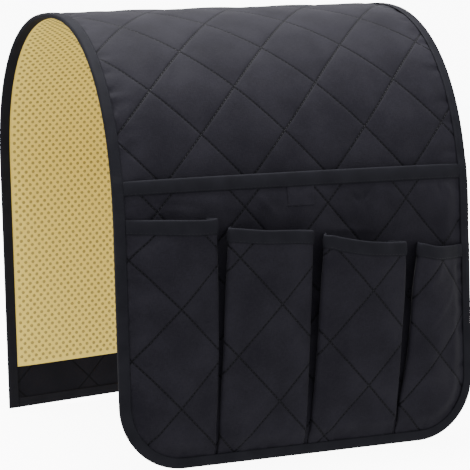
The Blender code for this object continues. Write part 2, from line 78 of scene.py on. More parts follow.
# One end of the arm by its length: a leaning straight flap, a superellipse shoulder up to the apex
# (cosine and sine to the power 2 / n), and the same down the back
def sideCurve(depth, height, apex, rearHem):
    frontCount, shoulderCount, rearCount = arm["samples"]
    turn = np.linspace(0, math.pi / 2, shoulderCount)
    frontZ, rearZ = arm["frontStraight"], arm["rearStraight"]
    flapZ = np.linspace(0, frontZ, frontCount)[:-1]
    flapY = -arm["frontLean"] * (frontZ - flapZ)
    frontPower, rearPower = 2 / arm["frontPower"], 2 / arm["rearPower"]
    shoulderY = apex - apex * np.cos(turn) ** frontPower
    shoulderZ = frontZ + (height - frontZ) * np.sin(turn) ** frontPower
    backY = (apex + (depth - apex) * np.cos(turn) ** rearPower)[::-1][1:]
    backZ = (rearZ + (height - rearZ) * np.sin(turn) ** rearPower)[::-1][1:]
    endZ = np.linspace(rearZ, rearHem, rearCount)[1:]
    endY = depth + arm["rearLean"] * (rearZ - endZ)
    y = np.concatenate((flapY, shoulderY, backY, endY)) - arm["middleDepth"] / 2
    z = np.concatenate((flapZ, shoulderZ, backZ, endZ)) + arm["hemHeight"]
    s = np.concatenate(([0], np.cumsum(np.hypot(np.diff(y), np.diff(z)))))
    return s, y, z


leftCurve, rightCurve = sideCurve(*arm["leftEnd"]), sideCurve(*arm["rightEnd"])
coverLength = float(leftCurve[0][-1])
rightLength = float(rightCurve[0][-1])


# The arm's surface: the two end curves blended evenly along x, and straight on past both hems
def armPoint(x, s):
    share = (x + arm["halfWidth"]) / (2 * arm["halfWidth"])
    marks = (0, arm["extraFrom"], arm["extraTo"], arm["extraStays"], coverLength)
    rightS = s + np.interp(s, marks, (0, 0, arm["extraArc"], arm["extraArc"], rightLength - coverLength))
    left = [np.interp(s, leftCurve[0], leftCurve[k]) for k in (1, 2)]
    right = [np.interp(rightS, rightCurve[0], rightCurve[k]) for k in (1, 2)]
    y = (1 - share) * left[0] + share * right[0]
    z = (1 - share) * left[1] + share * right[1]
    past = np.minimum(s, 0) + np.minimum(coverLength - s, 0)
    return np.stack(np.broadcast_arrays(x, y, z + past), axis=-1)


# A surface moved along its outward normal, the cross product of its two directions
def lifted(surface, x, s, lift):
    x, s, lift = np.broadcast_arrays(x, s, lift)
    step = 0.0006
    along = surface(x + step, s) - surface(x - step, s)
    up = surface(x, s + step) - surface(x, s - step)
    normal = np.cross(along, up)
    normal = normal / np.maximum(np.linalg.norm(normal, axis=-1, keepdims=True), 1e-12)
    return surface(x, s) + normal * lift[..., None]


# Distance in from the cover's edge: the nearest of its straight sides, or the radius less the
# distance from the centre inside a round corner
def edgeInset(x, s):
    radius, half = arm["cornerRadius"], arm["halfWidth"]
    side, low = np.abs(x) - (half - radius), radius - s
    corner = radius - np.hypot(np.maximum(side, 0), np.maximum(low, 0))
    straight = np.minimum(np.minimum(half - np.abs(x), s), coverLength - s)
    return np.where((side > 0) & (low > 0), corner, straight)


# Half the cover's width at s, which a circle makes less in the round corners
def halfWidthAt(s):
    radius = arm["cornerRadius"]
    low = np.clip(radius - s, 0, radius)
    return arm["halfWidth"] - radius + np.sqrt(np.maximum(radius ** 2 - low ** 2, 0))


# Four places of a table, blended by the shares a and b
def blended(values, i0, j0, i1, j1, a, b):
    low = values[i0, j0] * (1 - a) + values[i1, j0] * a
    high = values[i0, j1] * (1 - a) + values[i1, j1] * a
    return low * (1 - b) + high * b


# Smooth value noise: random numbers on a lattice that repeats, blended with S curves. Its range is
# -1 to 1. The shifts keep the lattice's start off the object.
def softNoise(x, y, size, seed):
    count, shiftX, shiftY = 256, 97.3, 61.7
    numbers = np.random.default_rng(seed).uniform(-1, 1, (count, count))
    u, v = np.asarray(x) / size + shiftX, np.asarray(y) / size + shiftY
    i, j = np.floor(u).astype(int), np.floor(v).astype(int)
    a, b = smooth(u - i, 0, 1), smooth(v - j, 0, 1)
    return blended(numbers, i % count, j % count, (i + 1) % count, (j + 1) % count, a, b)


# The diamond quilting, sewn through before the cloths were cut
quilting = {
    "diamondWidth": 0.0805,
    "diamondHeight": 0.0866,
    "seamRise": 0.0026,  # the cloth is drawn down to its stitching over this distance
    "roundness": 0.55,  # 1 is a domed puff, less is flatter with steeper sides
    "quickSteepness": 3.4,  # the puffs' shape where the simulation is skipped
    "quickPower": 0.55,
    "lowest": -0.0003,  # how far a fold may sink into a panel or a pocket
    "thinnest": 0.0003,  # what every panel and pocket keeps
    "mouthEase": (0.010, 0.020),  # the puffs end and are full this far below a mouth
}

# The cloth simulation that blows the puffs
blowing = {
    "frames": 20,
    "pressure": 12.0,
    "extraCloth": 0.024,  # share of cloth that is longer than the seams it is sewn to
    "bending": 0.3,
    "stretching": 15,
    "shearing": 5,
    "mass": 0.3,
    "quality": 5,
    "startNoise": 0.0002,  # seeded unevenness, from which the puckers grow
    "noiseSize": 0.008,
    "fullAt": 96,  # the percentile of height that counts as a full puff
    "sides": 0.172,  # the grids go this far to the sides,
    "rim": 0.004,  # this near to the hems
    "mouthRim": 0.008,  # and this near to a mouth,
    "heldEdge": 0.011,  # and are held this far in from the edge
    "heldMouth": 0.012,  # and below a mouth
}


# Places along the two sets of seams, whole numbers on a seam: x in diamonds plus or minus s in diamonds
def quiltPlace(x, s, crossing):
    across = (x - crossing[0]) / quilting["diamondWidth"]
    up = (s - crossing[1]) / quilting["diamondHeight"]
    return across + up, across - up


# Distance to the nearest seam in metres, from the place's distance to a whole number
def seamDistance(x, s, crossing):
    width, height = quilting["diamondWidth"], quilting["diamondHeight"]
    gap = width * height / math.hypot(width, height)
    near = [np.abs(place - np.round(place)) for place in quiltPlace(x, s, crossing)]
    return np.minimum(near[0], near[1]) * gap


# A table of values on an even grid, read between its places by bilinear blending
def readGrid(values, xLow, sLow, xStep, sStep):
    def read(x, s):
        i = np.clip((x - xLow) / xStep, 0, values.shape[0] - 1.001)
        j = np.clip((s - sLow) / sStep, 0, values.shape[1] - 1.001)
        i0, j0 = np.floor(i).astype(int), np.floor(j).astype(int)
        return blended(values, i0, j0, i0 + 1, j0 + 1, i - i0, j - j0)
    return read


# The steps of a grid that has so many parts to half a diamond
def gridSteps(parts):
    return quilting["diamondWidth"] / 2 / parts, quilting["diamondHeight"] / 2 / parts


# The four-sided faces of a grid of places
def quadGrid(shape):
    index = np.arange(shape[0] * shape[1]).reshape(shape)
    return np.stack((index[:-1, :-1], index[1:, :-1], index[1:, 1:], index[:-1, 1:]), -1).reshape(-1, 4)


# Runs Cloth on a grid that is held at some of its places, and gives where each place ends up
def simulateCloth(name, points, quads, held):
    item = makeObject(name, points.reshape(-1, 3), quads)
    sewn = item.vertex_groups.new(name="sewn")
    sewn.add(np.flatnonzero(held.ravel()).tolist(), 1.0, "REPLACE")
    simulation = item.modifiers.new("puffs", "CLOTH")
    settings = simulation.settings
    settings.quality = blowing["quality"]
    settings.mass = blowing["mass"]
    settings.tension_stiffness = settings.compression_stiffness = blowing["stretching"]
    settings.shear_stiffness = blowing["shearing"]
    settings.bending_stiffness = blowing["bending"]
    settings.air_damping = 1
    settings.use_pressure = True
    settings.uniform_pressure_force = blowing["pressure"]
    settings.shrink_min = -blowing["extraCloth"]
    settings.vertex_group_mass = sewn.name
    settings.effector_weights.gravity = 0
    simulation.point_cache.frame_start = 1
    simulation.point_cache.frame_end = blowing["frames"]
    for number in range(1, blowing["frames"] + 1):
        bpy.context.scene.frame_set(number)
    blown = item.evaluated_get(bpy.context.evaluated_depsgraph_get())
    ended = np.empty(points.size)
    blown.data.vertices.foreach_get("co", ended)
    mesh = item.data
    bpy.data.objects.remove(item)
    bpy.data.meshes.remove(mesh)
    bpy.context.scene.frame_set(1)
    return ended.reshape(points.shape)


# Blows the puffs of one cloth with Blender's Cloth. A grid of the pattern is laid on the cloth's
# surface and held where it is sewn, gets a little extra cloth and a pressure from inside, and runs
# for some frames without gravity. What is kept is how far each place stood off, from 0 on a seam
# to 1 on a full puff, blurred once so that no single thread of the grid shows.
def blownPuffs(name, surface, piece, box, freeAt):
    crossing, parts = piece["crossing"], piece["blownParts"]
    steps = gridSteps(parts)
    spans = [np.arange(math.ceil((box[2 * k] - crossing[k]) / steps[k]),
                       math.floor((box[2 * k + 1] - crossing[k]) / steps[k]) + 1) for k in (0, 1)]
    i, j = np.meshgrid(*spans, indexing="ij")
    x, s = crossing[0] + i * steps[0], crossing[1] + j * steps[1]
    held = ((i + j) % (2 * parts) == 0) | ((i - j) % (2 * parts) == 0) | ~freeAt(x, s)
    held[[0, -1]] = True
    held[:, [0, -1]] = True
    noise = blowing["startNoise"] * softNoise(x, s, blowing["noiseSize"], piece["seed"])
    start = lifted(surface, x, s, np.where(held, 0, noise))
    points = simulateCloth(name, start, quadGrid(x.shape), held)
    flat, short = lifted(surface, x, s, 0.0), 0.001
    out = (lifted(surface, x, s, short) - flat) / short
    stoodOff = np.maximum(((points - flat) * out).sum(-1), 0)
    full = np.percentile(stoodOff[~held], blowing["fullAt"])
    padded = np.pad(np.clip(stoodOff / full, 0, 1), 1, mode="edge")
    share = (padded[:-2] + 2 * padded[1:-1] + padded[2:]) / 4
    share = (share[:, :-2] + 2 * share[:, 1:-1] + share[:, 2:]) / 4
    print("puffs blown:", name, x.size, "places, full height", round(full * 1000, 2), "mm")
    return readGrid(np.round(share, 3), x[0, 0], s[0, 0], *steps)


# The finished puff: the blown share to a power, times a rise from the seams of 1 - (1 - t)^2
def puffLift(blown, x, s, crossing, height):
    t = ramp(seamDistance(x, s, crossing), 0, quilting["seamRise"])
    return height * np.clip(blown(x, s), 0, 1) ** quilting["roundness"] * (1 - (1 - t) ** 2)


# Small puckers where the binding gathers the cloths: noise drawn out across the edge, which only
# sinks in. Past the binding it fades as e to the power of minus the distance over the reach.
puckers = {
    "depth": 0.0022,
    "width": 0.0065,
    "draw": 2.5,  # how many times as long as wide
    "from": 0.009,  # the binding covers them up to here
    "reach": 0.010,
    "turn": 0.010,  # the sides' puckers give way to the hem's over this distance
}


def puckerLift(x, s, seed):
    side = softNoise(x / puckers["draw"], s, puckers["width"], seed)
    low = softNoise(x, s / puckers["draw"], puckers["width"], seed + 1)
    turned = smooth(arm["halfWidth"] - np.abs(x) - s, -puckers["turn"], puckers["turn"])
    fade = np.exp(-np.maximum(edgeInset(x, s) - puckers["from"], 0) / puckers["reach"])
    return puckers["depth"] * np.minimum(side + (low - side) * turned, 0) * fade


# Creases, each a table entry of x, s, x, s, height and half width: a bell across the line between
# its two places, fading as a sine to both ends. A negative height is a fold that sinks in.
def creaseLift(creases, x, s):
    total = np.zeros(np.broadcast(x, s).shape)
    for x0, s0, x1, s1, height, reach in creases:
        length = math.hypot(x1 - x0, s1 - s0)
        t = ((x - x0) * (x1 - x0) + (s - s0) * (s1 - s0)) / length ** 2
        near = np.clip(t, 0, 1)
        apart = np.hypot(x - x0 - near * (x1 - x0), s - s0 - near * (s1 - s0))
        total = total + height * np.exp(-(apart / reach) ** 2) * np.sin(math.pi * np.clip(t, 0.08, 0.92))
    return total


# The outside of a quilted panel or pocket over its surface: its thickness, and its puffs and creases
# held between two heights and faded by a share
def quiltedTop(piece, blown, x, s, share):
    puff = puffLift(blown, x, s, piece["crossing"], piece["puff"]) + creaseLift(piece["creases"], x, s)
    top = piece["thickness"] + np.clip(puff, quilting["lowest"], piece["crest"]) * share
    return np.maximum(top + puckerLift(x, s, piece["puckerSeed"]), quilting["thinnest"])


def addToScene(name, data):
    item = bpy.data.objects.new(name, data)
    bpy.context.scene.collection.objects.link(item)
    return item


# A mesh object from arrays of points and faces, with a UV map for each entry of maps
def makeObject(name, points, faces, maps=None):
    mesh = bpy.data.meshes.new(name)
    mesh.from_pydata(points.tolist(), [], faces.tolist())
    for mapName, values in (maps or {}).items():
        layer = mesh.uv_layers.new(name=mapName)
        corners = np.empty(len(mesh.loops), np.int32)
        mesh.loops.foreach_get("vertex_index", corners)
        layer.data.foreach_set("uv", values[corners].astype(np.float32).ravel())
    mesh.polygons.foreach_set("use_smooth", np.full(len(mesh.polygons), True))
    mesh.update()
    return addToScene(name, mesh)


# Each four-sided face as two triangles
def halves(a, b, c, d):
    return np.concatenate((np.stack((a, b, c), 1), np.stack((a, c, d), 1)))


# A flat grid whose lines run through the quilting's crossings, cut to an outline: a place past the
# outline is moved onto it, then places that fall together are merged and the empty faces dropped.
# Quads are split both ways in turn, so that the sewn diagonals are edges.
def patternGrid(crossing, parts, sLow, sHigh, sidesAt, mouthAt=None):
    xStep, sStep = gridSteps(parts)
    grain = 1e-7  # places nearer than this are one
    rows = np.arange(math.floor((sLow - crossing[1]) / sStep), math.ceil((sHigh - crossing[1]) / sStep) + 1)
    left, right = sidesAt(np.linspace(sLow, sHigh, 200))
    first = math.floor((float(np.min(left)) - crossing[0]) / xStep)
    columns = np.arange(first, math.ceil((float(np.max(right)) - crossing[0]) / xStep) + 1)
    i, j = np.meshgrid(columns, rows, indexing="ij")
    x, s = crossing[0] + i * xStep, np.clip(crossing[1] + j * sStep, sLow, sHigh)
    if mouthAt is not None:
        s = np.minimum(s, mouthAt(np.clip(x, *sidesAt(s))))
    x = np.clip(x, *sidesAt(s))
    flat = np.stack((x.ravel(), s.ravel()), axis=1)
    whole = np.round(flat / grain).astype(np.int64)
    kept, place = np.unique(whole, axis=0, return_index=True, return_inverse=True)[1:]
    place = place.reshape(x.shape)
    flat = flat[kept]
    a, b, c, d = place[:-1, :-1], place[1:, :-1], place[1:, 1:], place[:-1, 1:]
    swap = ((i[:-1, :-1] + j[:-1, :-1]) % 2 == 0)[..., None]
    one = np.where(swap, np.stack((a, b, c), -1), np.stack((a, b, d), -1)).reshape(-1, 3)
    two = np.where(swap, np.stack((a, c, d), -1), np.stack((b, c, d), -1)).reshape(-1, 3)
    faces = np.concatenate((one, two))
    p, q, r = (flat[faces[:, k]] for k in range(3))
    area = (q[:, 0] - p[:, 0]) * (r[:, 1] - p[:, 1]) - (q[:, 1] - p[:, 1]) * (r[:, 0] - p[:, 0])
    faces = faces[np.abs(area) > 1e-12]
    used, faces = np.unique(faces, return_inverse=True)
    return flat[used], faces.reshape(-1, 3)


# A closed cloth from its top and its underside, joined round the pattern's open edges. With no
# crossing it has no seams: its places are all half way between two.
def closedCloth(name, flat, faces, top, under, crossing=None):
    count = len(flat)
    edges = np.concatenate((faces[:, [0, 1]], faces[:, [1, 2]], faces[:, [2, 0]]))
    index, counts = np.unique(np.sort(edges, axis=1), axis=0, return_inverse=True, return_counts=True)[1:]
    start, end = edges[counts[index.ravel()] == 1].T
    walls = halves(end, start, start + count, end + count)
    place = np.full(flat.shape, 0.5)
    if crossing is not None:
        place = np.stack(quiltPlace(flat[:, 0], flat[:, 1], crossing), 1)
    maps = {"cloth": np.concatenate((flat, flat)), "quilt": np.concatenate((place, place))}
    allFaces = np.concatenate((faces, faces[:, ::-1] + count, walls))
    return makeObject(name, np.concatenate((top, under)), allFaces, maps)


# A closed strip: the closed section at each station joined to the next, and a fan shut at both ends.
# Its UV map is the distance along it and the distance round its section.
def closedStrip(name, place, around):
    stations, count = place.shape[:2]
    index = np.arange(stations * count).reshape(stations, count)
    turned = np.roll(index, -1, axis=1)
    walls = halves(*(part.ravel() for part in (index[:-1], index[1:], turned[1:], turned[:-1])))
    middle = np.full(count, stations * count)
    startFan = np.stack((middle, index[0], turned[0]), 1)
    endFan = np.stack((middle + 1, turned[-1], index[-1]), 1)
    points = np.concatenate((place.reshape(-1, 3), [place[0].mean(axis=0), place[-1].mean(axis=0)]))
    along = np.concatenate(([0], np.cumsum(np.linalg.norm(np.diff(place[:, 0], axis=0), axis=1))))
    u = np.concatenate((np.repeat(along, count), [along[0], along[-1]]))
    v = np.concatenate((np.tile(around, stations), [0, 0]))
    faces = np.concatenate((walls, startFan, endFan))
    return makeObject(name, points, faces, {"tape": np.stack((u, v), 1)})


# An sRGB hex colour as linear numbers
def linearColour(hexValue):
    values = [int(hexValue[k:k + 2], 16) / 255 for k in (1, 3, 5)]
    return tuple(v / 12.92 if v <= 0.04045 else ((v + 0.055) / 1.055) ** 2.4 for v in values) + (1.0,)


# Links a node's inputs to sockets or sets them to values. A text is a hex colour.
def setInputs(tree, node, inputs):
    for name, value in inputs.items():
        if isinstance(value, bpy.types.NodeSocket):
            tree.links.new(value, node.inputs[name])
        else:
            node.inputs[name].default_value = linearColour(value) if isinstance(value, str) else value


# Adds a node with its settings and inputs, and gives one of its outputs
def addNode(tree, kind, settings=None, inputs=None, output=0):
    made = tree.nodes.new(kind)
    for name, value in (settings or {}).items():
        setattr(made, name, value)
    setInputs(tree, made, inputs or {})
    return made.outputs[output]


# An empty material with its node tree and its shader
def newMaterial(name):
    material = bpy.data.materials.new(name)
    material.use_nodes = True
    return material, material.node_tree, material.node_tree.nodes["Principled BSDF"]


# Threads of a plain weave: noise drawn out along one direction for the warp and along the other
# for the weft, of which the higher shows. Real threads are 0.3 mm apart and wouldn't show, so they
# are drawn as about 1 mm wide and 4 mm long.
def weaveHeight(tree, place, across, along):
    heights = []
    for scale in ((across, along, 1), (along, across, 1)):
        threads = addNode(tree, "ShaderNodeMapping", inputs={"Vector": place, "Scale": scale})
        heights.append(addNode(tree, "ShaderNodeTexNoise", {"noise_dimensions": "2D"},
                               {"Vector": threads, "Scale": 1.0, "Detail": 2.0}, "Fac"))
    return addNode(tree, "ShaderNodeMath", {"operation": "MAXIMUM"}, dict(enumerate(heights)))


# Microfibre polyester, brushed and plain woven: matt, with a soft grazing sheen, a faint mottling
# 35 mm wide, and a near-black line along each sewn seam, which is painted shade for the drawn-in crease
# together with the needle holes. The backing's threads are blacker. Seams are 59 mm apart, so the painted line
# is 1.1 mm wide each side and the cloth is drawn in over 2 mm.
def wovenPolyester(name, darkThread, lightThread):
    material, tree, shader = newMaterial(name)
    place = addNode(tree, "ShaderNodeUVMap", {"uv_map": "cloth"})
    quilt = addNode(tree, "ShaderNodeUVMap", {"uv_map": "quilt"})
    apart = []
    for axis in ("X", "Y"):  # distance to the nearest whole number, which is a seam
        part = addNode(tree, "ShaderNodeSeparateXYZ", inputs={"Vector": quilt}, output=axis)
        for operation, number in (("ADD", 100.5), ("FRACT", 0.0), ("SUBTRACT", 0.5), ("ABSOLUTE", 0.0)):
            part = addNode(tree, "ShaderNodeMath", {"operation": operation}, {0: part, 1: number})
        apart.append(part)
    nearest = addNode(tree, "ShaderNodeMath", {"operation": "MINIMUM"}, dict(enumerate(apart)))
    # Painted shade: 1 on a seam, falling to 0 by 1.1 mm off it, the share of near black that stands for the
    # crease's shadow and the needle holes
    seamShadeAndHoles = addNode(tree, "ShaderNodeMapRange", inputs={
        "Value": nearest, "From Min": 0.005, "From Max": 0.018, "To Min": 1.0, "To Max": 0.0})
    weave = weaveHeight(tree, place, 1100.0, 260.0)
    mottle = addNode(tree, "ShaderNodeTexNoise", {"noise_dimensions": "2D"},
                     {"Vector": place, "Scale": 28.0, "Detail": 4.0}, "Fac")
    uneven = addNode(tree, "ShaderNodeMath", {"operation": "ADD"}, {0: weave, 1: mottle})
    tone = addNode(tree, "ShaderNodeMapRange", inputs={"Value": uneven, "From Min": 0.8, "From Max": 1.35})
    threads = addNode(tree, "ShaderNodeMix", {"data_type": "RGBA"}, {0: tone, 6: darkThread, 7: lightThread}, 2)
    # The painted seam shade: the cloth's colour goes to near black along each seam
    colour = addNode(tree, "ShaderNodeMix", {"data_type": "RGBA"}, {0: seamShadeAndHoles, 6: threads, 7: "#08080b"}, 2)
    drawn = addNode(tree, "ShaderNodeMapRange", {"interpolation_type": "SMOOTHSTEP"},
                    {"Value": nearest, "From Min": 0.0, "From Max": 0.034})
    crease = addNode(tree, "ShaderNodeBump", inputs={"Height": drawn, "Strength": 0.4, "Distance": 0.0010})
    bump = addNode(tree, "ShaderNodeBump", inputs={
        "Height": weave, "Strength": 0.35, "Distance": 0.0005, "Normal": crease})
    setInputs(tree, shader, {"Base Color": colour, "Normal": bump, "Roughness": 0.72, "Sheen Weight": 0.02,
                             "Sheen Roughness": 0.4, "Specular IOR Level": 0.06})
    return material


# Black polyester grosgrain tape, woven with ribs across it, a little smoother than the cloth. Real
# ribs are 0.5 mm apart and are drawn 1.1 mm apart.
def bindingTape():
    material, tree, shader = newMaterial("blackGrosgrainTape")
    place = addNode(tree, "ShaderNodeUVMap", {"uv_map": "tape"})
    ribs = addNode(tree, "ShaderNodeTexWave", {"wave_type": "BANDS", "bands_direction": "X"},
                   {"Vector": place, "Scale": 280.0, "Distortion": 0.4}, "Fac")
    mottle = addNode(tree, "ShaderNodeTexNoise", {"noise_dimensions": "2D"},
                     {"Vector": place, "Scale": 60.0, "Detail": 4.0}, "Fac")
    colour = addNode(tree, "ShaderNodeMix", {"data_type": "RGBA"}, {0: mottle, 6: "#141418", 7: "#1d1d22"}, 2)
    bump = addNode(tree, "ShaderNodeBump", inputs={"Height": ribs, "Strength": 0.3, "Distance": 0.0004})
    setInputs(tree, shader, {"Base Color": colour, "Normal": bump, "Roughness": 0.7,
                             "Specular IOR Level": 0.04})
    return material


# Straw-coloured non-slip polyester, closely woven: dull, with a fine grain
def tanLining():
    material, tree, shader = newMaterial("strawNonslipPolyester")
    weave = weaveHeight(tree, addNode(tree, "ShaderNodeUVMap", {"uv_map": "cloth"}), 900.0, 250.0)
    colour = addNode(tree, "ShaderNodeMix", {"data_type": "RGBA"}, {0: weave, 6: "#dcbe4e", 7: "#f2da76"}, 2)
    bump = addNode(tree, "ShaderNodeBump", inputs={"Height": weave, "Strength": 0.35, "Distance": 0.0004})
    setInputs(tree, shader, {"Base Color": colour, "Normal": bump, "Roughness": 0.9,
                             "Specular IOR Level": 0.2})
    return material


# Soft printed silicone rubber: smooth olive dots with a dull shine, each batch a little uneven
def rubberDots():
    material, tree, shader = newMaterial("oliveSiliconeRubber")
    place = addNode(tree, "ShaderNodeTexCoord", output="Object")
    mottle = addNode(tree, "ShaderNodeTexNoise", {}, {"Vector": place, "Scale": 45.0, "Detail": 2.0}, "Fac")
    colour = addNode(tree, "ShaderNodeMix", {"data_type": "RGBA"}, {0: mottle, 6: "#8f7d2c", 7: "#a99648"}, 2)
    setInputs(tree, shader, {"Base Color": colour, "Roughness": 0.55})
    return material


# Black spun polyester sewing thread, twisted: slightly shinier than the cloth, which shows as a
# dotted line of small lights
def sewingThread():
    material, tree, shader = newMaterial("blackPolyesterThread")
    place = addNode(tree, "ShaderNodeTexCoord", output="Object")
    twist = addNode(tree, "ShaderNodeTexNoise", {}, {"Vector": place, "Scale": 900.0, "Detail": 1.0}, "Fac")
    colour = addNode(tree, "ShaderNodeMix", {"data_type": "RGBA"}, {0: twist, 6: "#101014", 7: "#1a1a1f"}, 2)
    setInputs(tree, shader, {"Base Color": colour, "Roughness": 0.45, "Specular IOR Level": 0.15})
    return material


cloth = wovenPolyester("charcoalWovenPolyester", "#16151b", "#1f1e24")
plainCloth = wovenPolyester("blackPlainPolyester", "#101015", "#17161b")
tape, tan, dots, thread = bindingTape(), tanLining(), rubberDots(), sewingThread()
print("materials made")


# Gives a piece its material and body, and hides the CAD nodes that it stands for
def finishPiece(item, material, *nodes):
    item.data.materials.append(material)
    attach(item, "root")
    if nodes:
        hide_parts(*nodes)
    return item


# Cuts a cloth to its pattern, lays its top and its underside on a surface, closes and finishes it
def makeCloth(name, surface, pattern, topAt, underAt, material, *nodes, seams=True):
    flat, faces = patternGrid(*pattern)
    x, s = flat.T
    top, under = (lifted(surface, x, s, liftAt(x, s)) for liftAt in (topAt, underAt))
    item = closedCloth(name, flat, faces, top, under, pattern[0] if seams else None)
    print(name, "made,", len(item.data.polygons), "faces")
    return finishPiece(item, material, *nodes)


# The lifts of the saddle's layers, under the binding and where the cloth is free
layers = {
    "edge": 0.0025,  # the cloths end this far inside the binding's fold
    "pressFrom": 0.009,  # the binding presses the cloths flat up to here,
    "pressTo": 0.026,  # and they have their full thickness from here
    "liningUnder": (-0.0046, -0.0066),
    "liningTop": (-0.0039, -0.0058),
    "backingUnder": (-0.0038, -0.0057),
    "backingTop": (-0.0031, -0.0049),
    "coverUnder": (-0.0030, -0.0048),
    "coverTop": (-0.0016, -0.0012),
}


# 0 under the binding, 1 where the cloth is free
def freeShare(x, s):
    return smooth(edgeInset(x, s), layers["pressFrom"], layers["pressTo"])


def layerLift(layer, x, s):
    pressed, free = layers[layer]
    return pressed + (free - pressed) * freeShare(x, s)


def layerAt(layer):
    return lambda x, s: layerLift(layer, x, s)


# The sides of the saddle's cloths
def saddleSides(s):
    half = halfWidthAt(s) - layers["edge"]
    return -half, half


# Whether a place of a blown grid is clear of the binding
def clearOfBinding(x, s):
    return edgeInset(x, s) > blowing["heldEdge"]


# The quilted cover: face cloth and wadding
cover = {
    "crossing": (0.033, 0.418),  # where two seams cross
    "puff": 0.0014,
    "crest": 0.0028,  # what its puffs stay under
    "parts": 15,
    "blownParts": 9,
    "fill": 0.35,
    "seed": 11,
    "puckerSeed": 41,
}
wholeCover = (layers["edge"], coverLength - layers["edge"], saddleSides)


# What all the puffs of the cover stay under
def coverCrest(x, s):
    return layerLift("coverTop", x, s) + cover["crest"] * freeShare(x, s)


coverBox = (-blowing["sides"], blowing["sides"], blowing["rim"], coverLength - blowing["rim"])
coverBlown = blownPuffs("coverPuffs", armPoint, cover, coverBox, clearOfBinding)


# The cover's outside: its layer's lift, its puffs where the cloth is free, and the puckers
def coverTop(x, s):
    puff = puffLift(coverBlown, x, s, cover["crossing"], cover["puff"])
    return layerLift("coverTop", x, s) + puff * freeShare(x, s) + puckerLift(x, s, cover["puckerSeed"])


quiltedCover = makeCloth("quiltedCover", armPoint, (cover["crossing"], cover["parts"], *wholeCover), coverTop,
                         layerAt("coverUnder"), cloth, "face_cloth", "wadding")

# The backing cloth under the wadding, sewn through with it, which hangs in soft upright ripples
# past the lining
backing = {
    "parts": 8,
    "cut": (0.344, 0.988),
    "ripple": 0.0018,  # how far the ripples stand in,
    "rippleWidth": 0.010,  # how wide they are,
    "rippleDraw": 5.0,  # how many times as high as wide,
    "rippleFrom": 0.038,  # and how far above the rear hem they start
    "seed": 31,
}


# The backing's inside: its layer's lift, less ripples of drawn-out noise above the rear hem
def backingUnder(x, s):
    start = backing["rippleFrom"]
    past = smooth(s - coverLength, -start, -start / 2) * freeShare(x, s)
    wave = (1 - softNoise(x, s / backing["rippleDraw"], backing["rippleWidth"], backing["seed"])) / 2
    return layerLift("backingUnder", x, s) - backing["ripple"] * past * wave


backingCloth = makeCloth("backingCloth", armPoint, (cover["crossing"], backing["parts"], *wholeCover),
                         layerAt("backingTop"), backingUnder, plainCloth, "backing_cloth")

# The non-slip lining and its dots
lining = {
    "start": 0.058,
    "stop": coverLength - 0.042,
    "parts": 8,
    "cut": (0.344, 0.894),
    "dotPitch": 0.0075,  # along a row
    "rowPitch": 0.0044,
    "dotRadius": 0.0019,
    "dotHeight": 0.0005,
    "dotRings": ((1.0, -0.2), (0.7, 1.0)),  # each ring's share of the radius and of the height
    "dotSides": 6,
    "dotsReach": 0.160,  # how far from the middle the rows go
    "dotsRim": 0.004,  # and how near to the lining's ends
}


# Raised dots in staggered rows. Each is two rings, the upper smaller, with a flat top. A ring's
# places are the radius times cosine and sine of the turn round the dot's centre.
def makeDots():
    rim = lining["dotsRim"]
    rows = np.arange(lining["start"] + rim, lining["stop"] - rim, lining["rowPitch"])
    columns = np.arange(-lining["dotsReach"], lining["dotsReach"], lining["dotPitch"])
    i, j = np.meshgrid(np.arange(len(columns)), np.arange(len(rows)), indexing="ij")
    x = (columns[i] + (j % 2) * lining["dotPitch"] / 2).ravel()
    s = rows[j].ravel()
    sides = lining["dotSides"]
    k = np.arange(sides)
    turns = k * 2 * math.pi / sides
    ringRadii, ringHeights = np.array(lining["dotRings"]).T[:, :, None, None]
    radii, drops = lining["dotRadius"] * ringRadii, lining["dotHeight"] * ringHeights
    base = layerLift("liningUnder", x, s)[:, None]
    dotX, dotS = x[:, None] + radii * np.cos(turns), s[:, None] + radii * np.sin(turns)
    points = lifted(armPoint, dotX, dotS, base - drops)
    points = points.transpose(1, 0, 2, 3).reshape(-1, 3)
    m = (k + 1) % sides
    fan = np.arange(1, sides - 1)
    top = np.stack((0 * fan, fan + 1, fan), 1) + sides
    one = np.concatenate((halves(k, sides + k, sides + m, m), top))
    faces = (np.arange(len(x)) * 2 * sides)[:, None, None] + one[None]
    return finishPiece(makeObject("liningDots", points, faces.reshape(-1, 3)), dots)


dottedLining = makeCloth("dottedLining", armPoint,
                         (cover["crossing"], lining["parts"], lining["start"], lining["stop"], saddleSides),
                         layerAt("liningTop"), layerAt("liningUnder"), tan, "nonslip_lining", seams=False)
liningDots = makeDots()
print("liningDots made,", len(liningDots.data.polygons), "faces")

# The panel of the wide upper pocket
panel = {
    "crossing": (0.0236, 0.2232),
    "height": 0.2500,
    "gap": 0.0002,
    "thickness": 0.0010,
    "puff": 0.0020,
    "crest": 0.0024,
    "gape": 0.0065,  # how far the mouth stands open in the middle
    "gapeFrom": 0.060,
    "gapeSides": 0.163,  # and where it meets the cover again
    "parts": 20,
    "blownParts": 14,
    "fill": 0.3,
    "seed": 31,
    "puckerSeed": 43,
    "creases": (
        (0.0465, 0.2300, 0.0569, 0.2221, -0.0016, 0.0017),
        (0.0569, 0.2221, 0.0672, 0.2340, -0.0016, 0.0017),
        (0.0180, 0.2010, 0.0750, 0.1970, 0.0012, 0.0036),
        (0.1390, 0.2400, 0.1425, 0.2200, -0.0013, 0.0018),
        (0.1460, 0.2370, 0.1560, 0.2190, 0.0010, 0.0022),
        (-0.1500, 0.2330, -0.1000, 0.2260, -0.0009, 0.0028),
        (-0.0450, 0.2330, -0.0250, 0.2120, 0.0009, 0.0026),
    ),
}


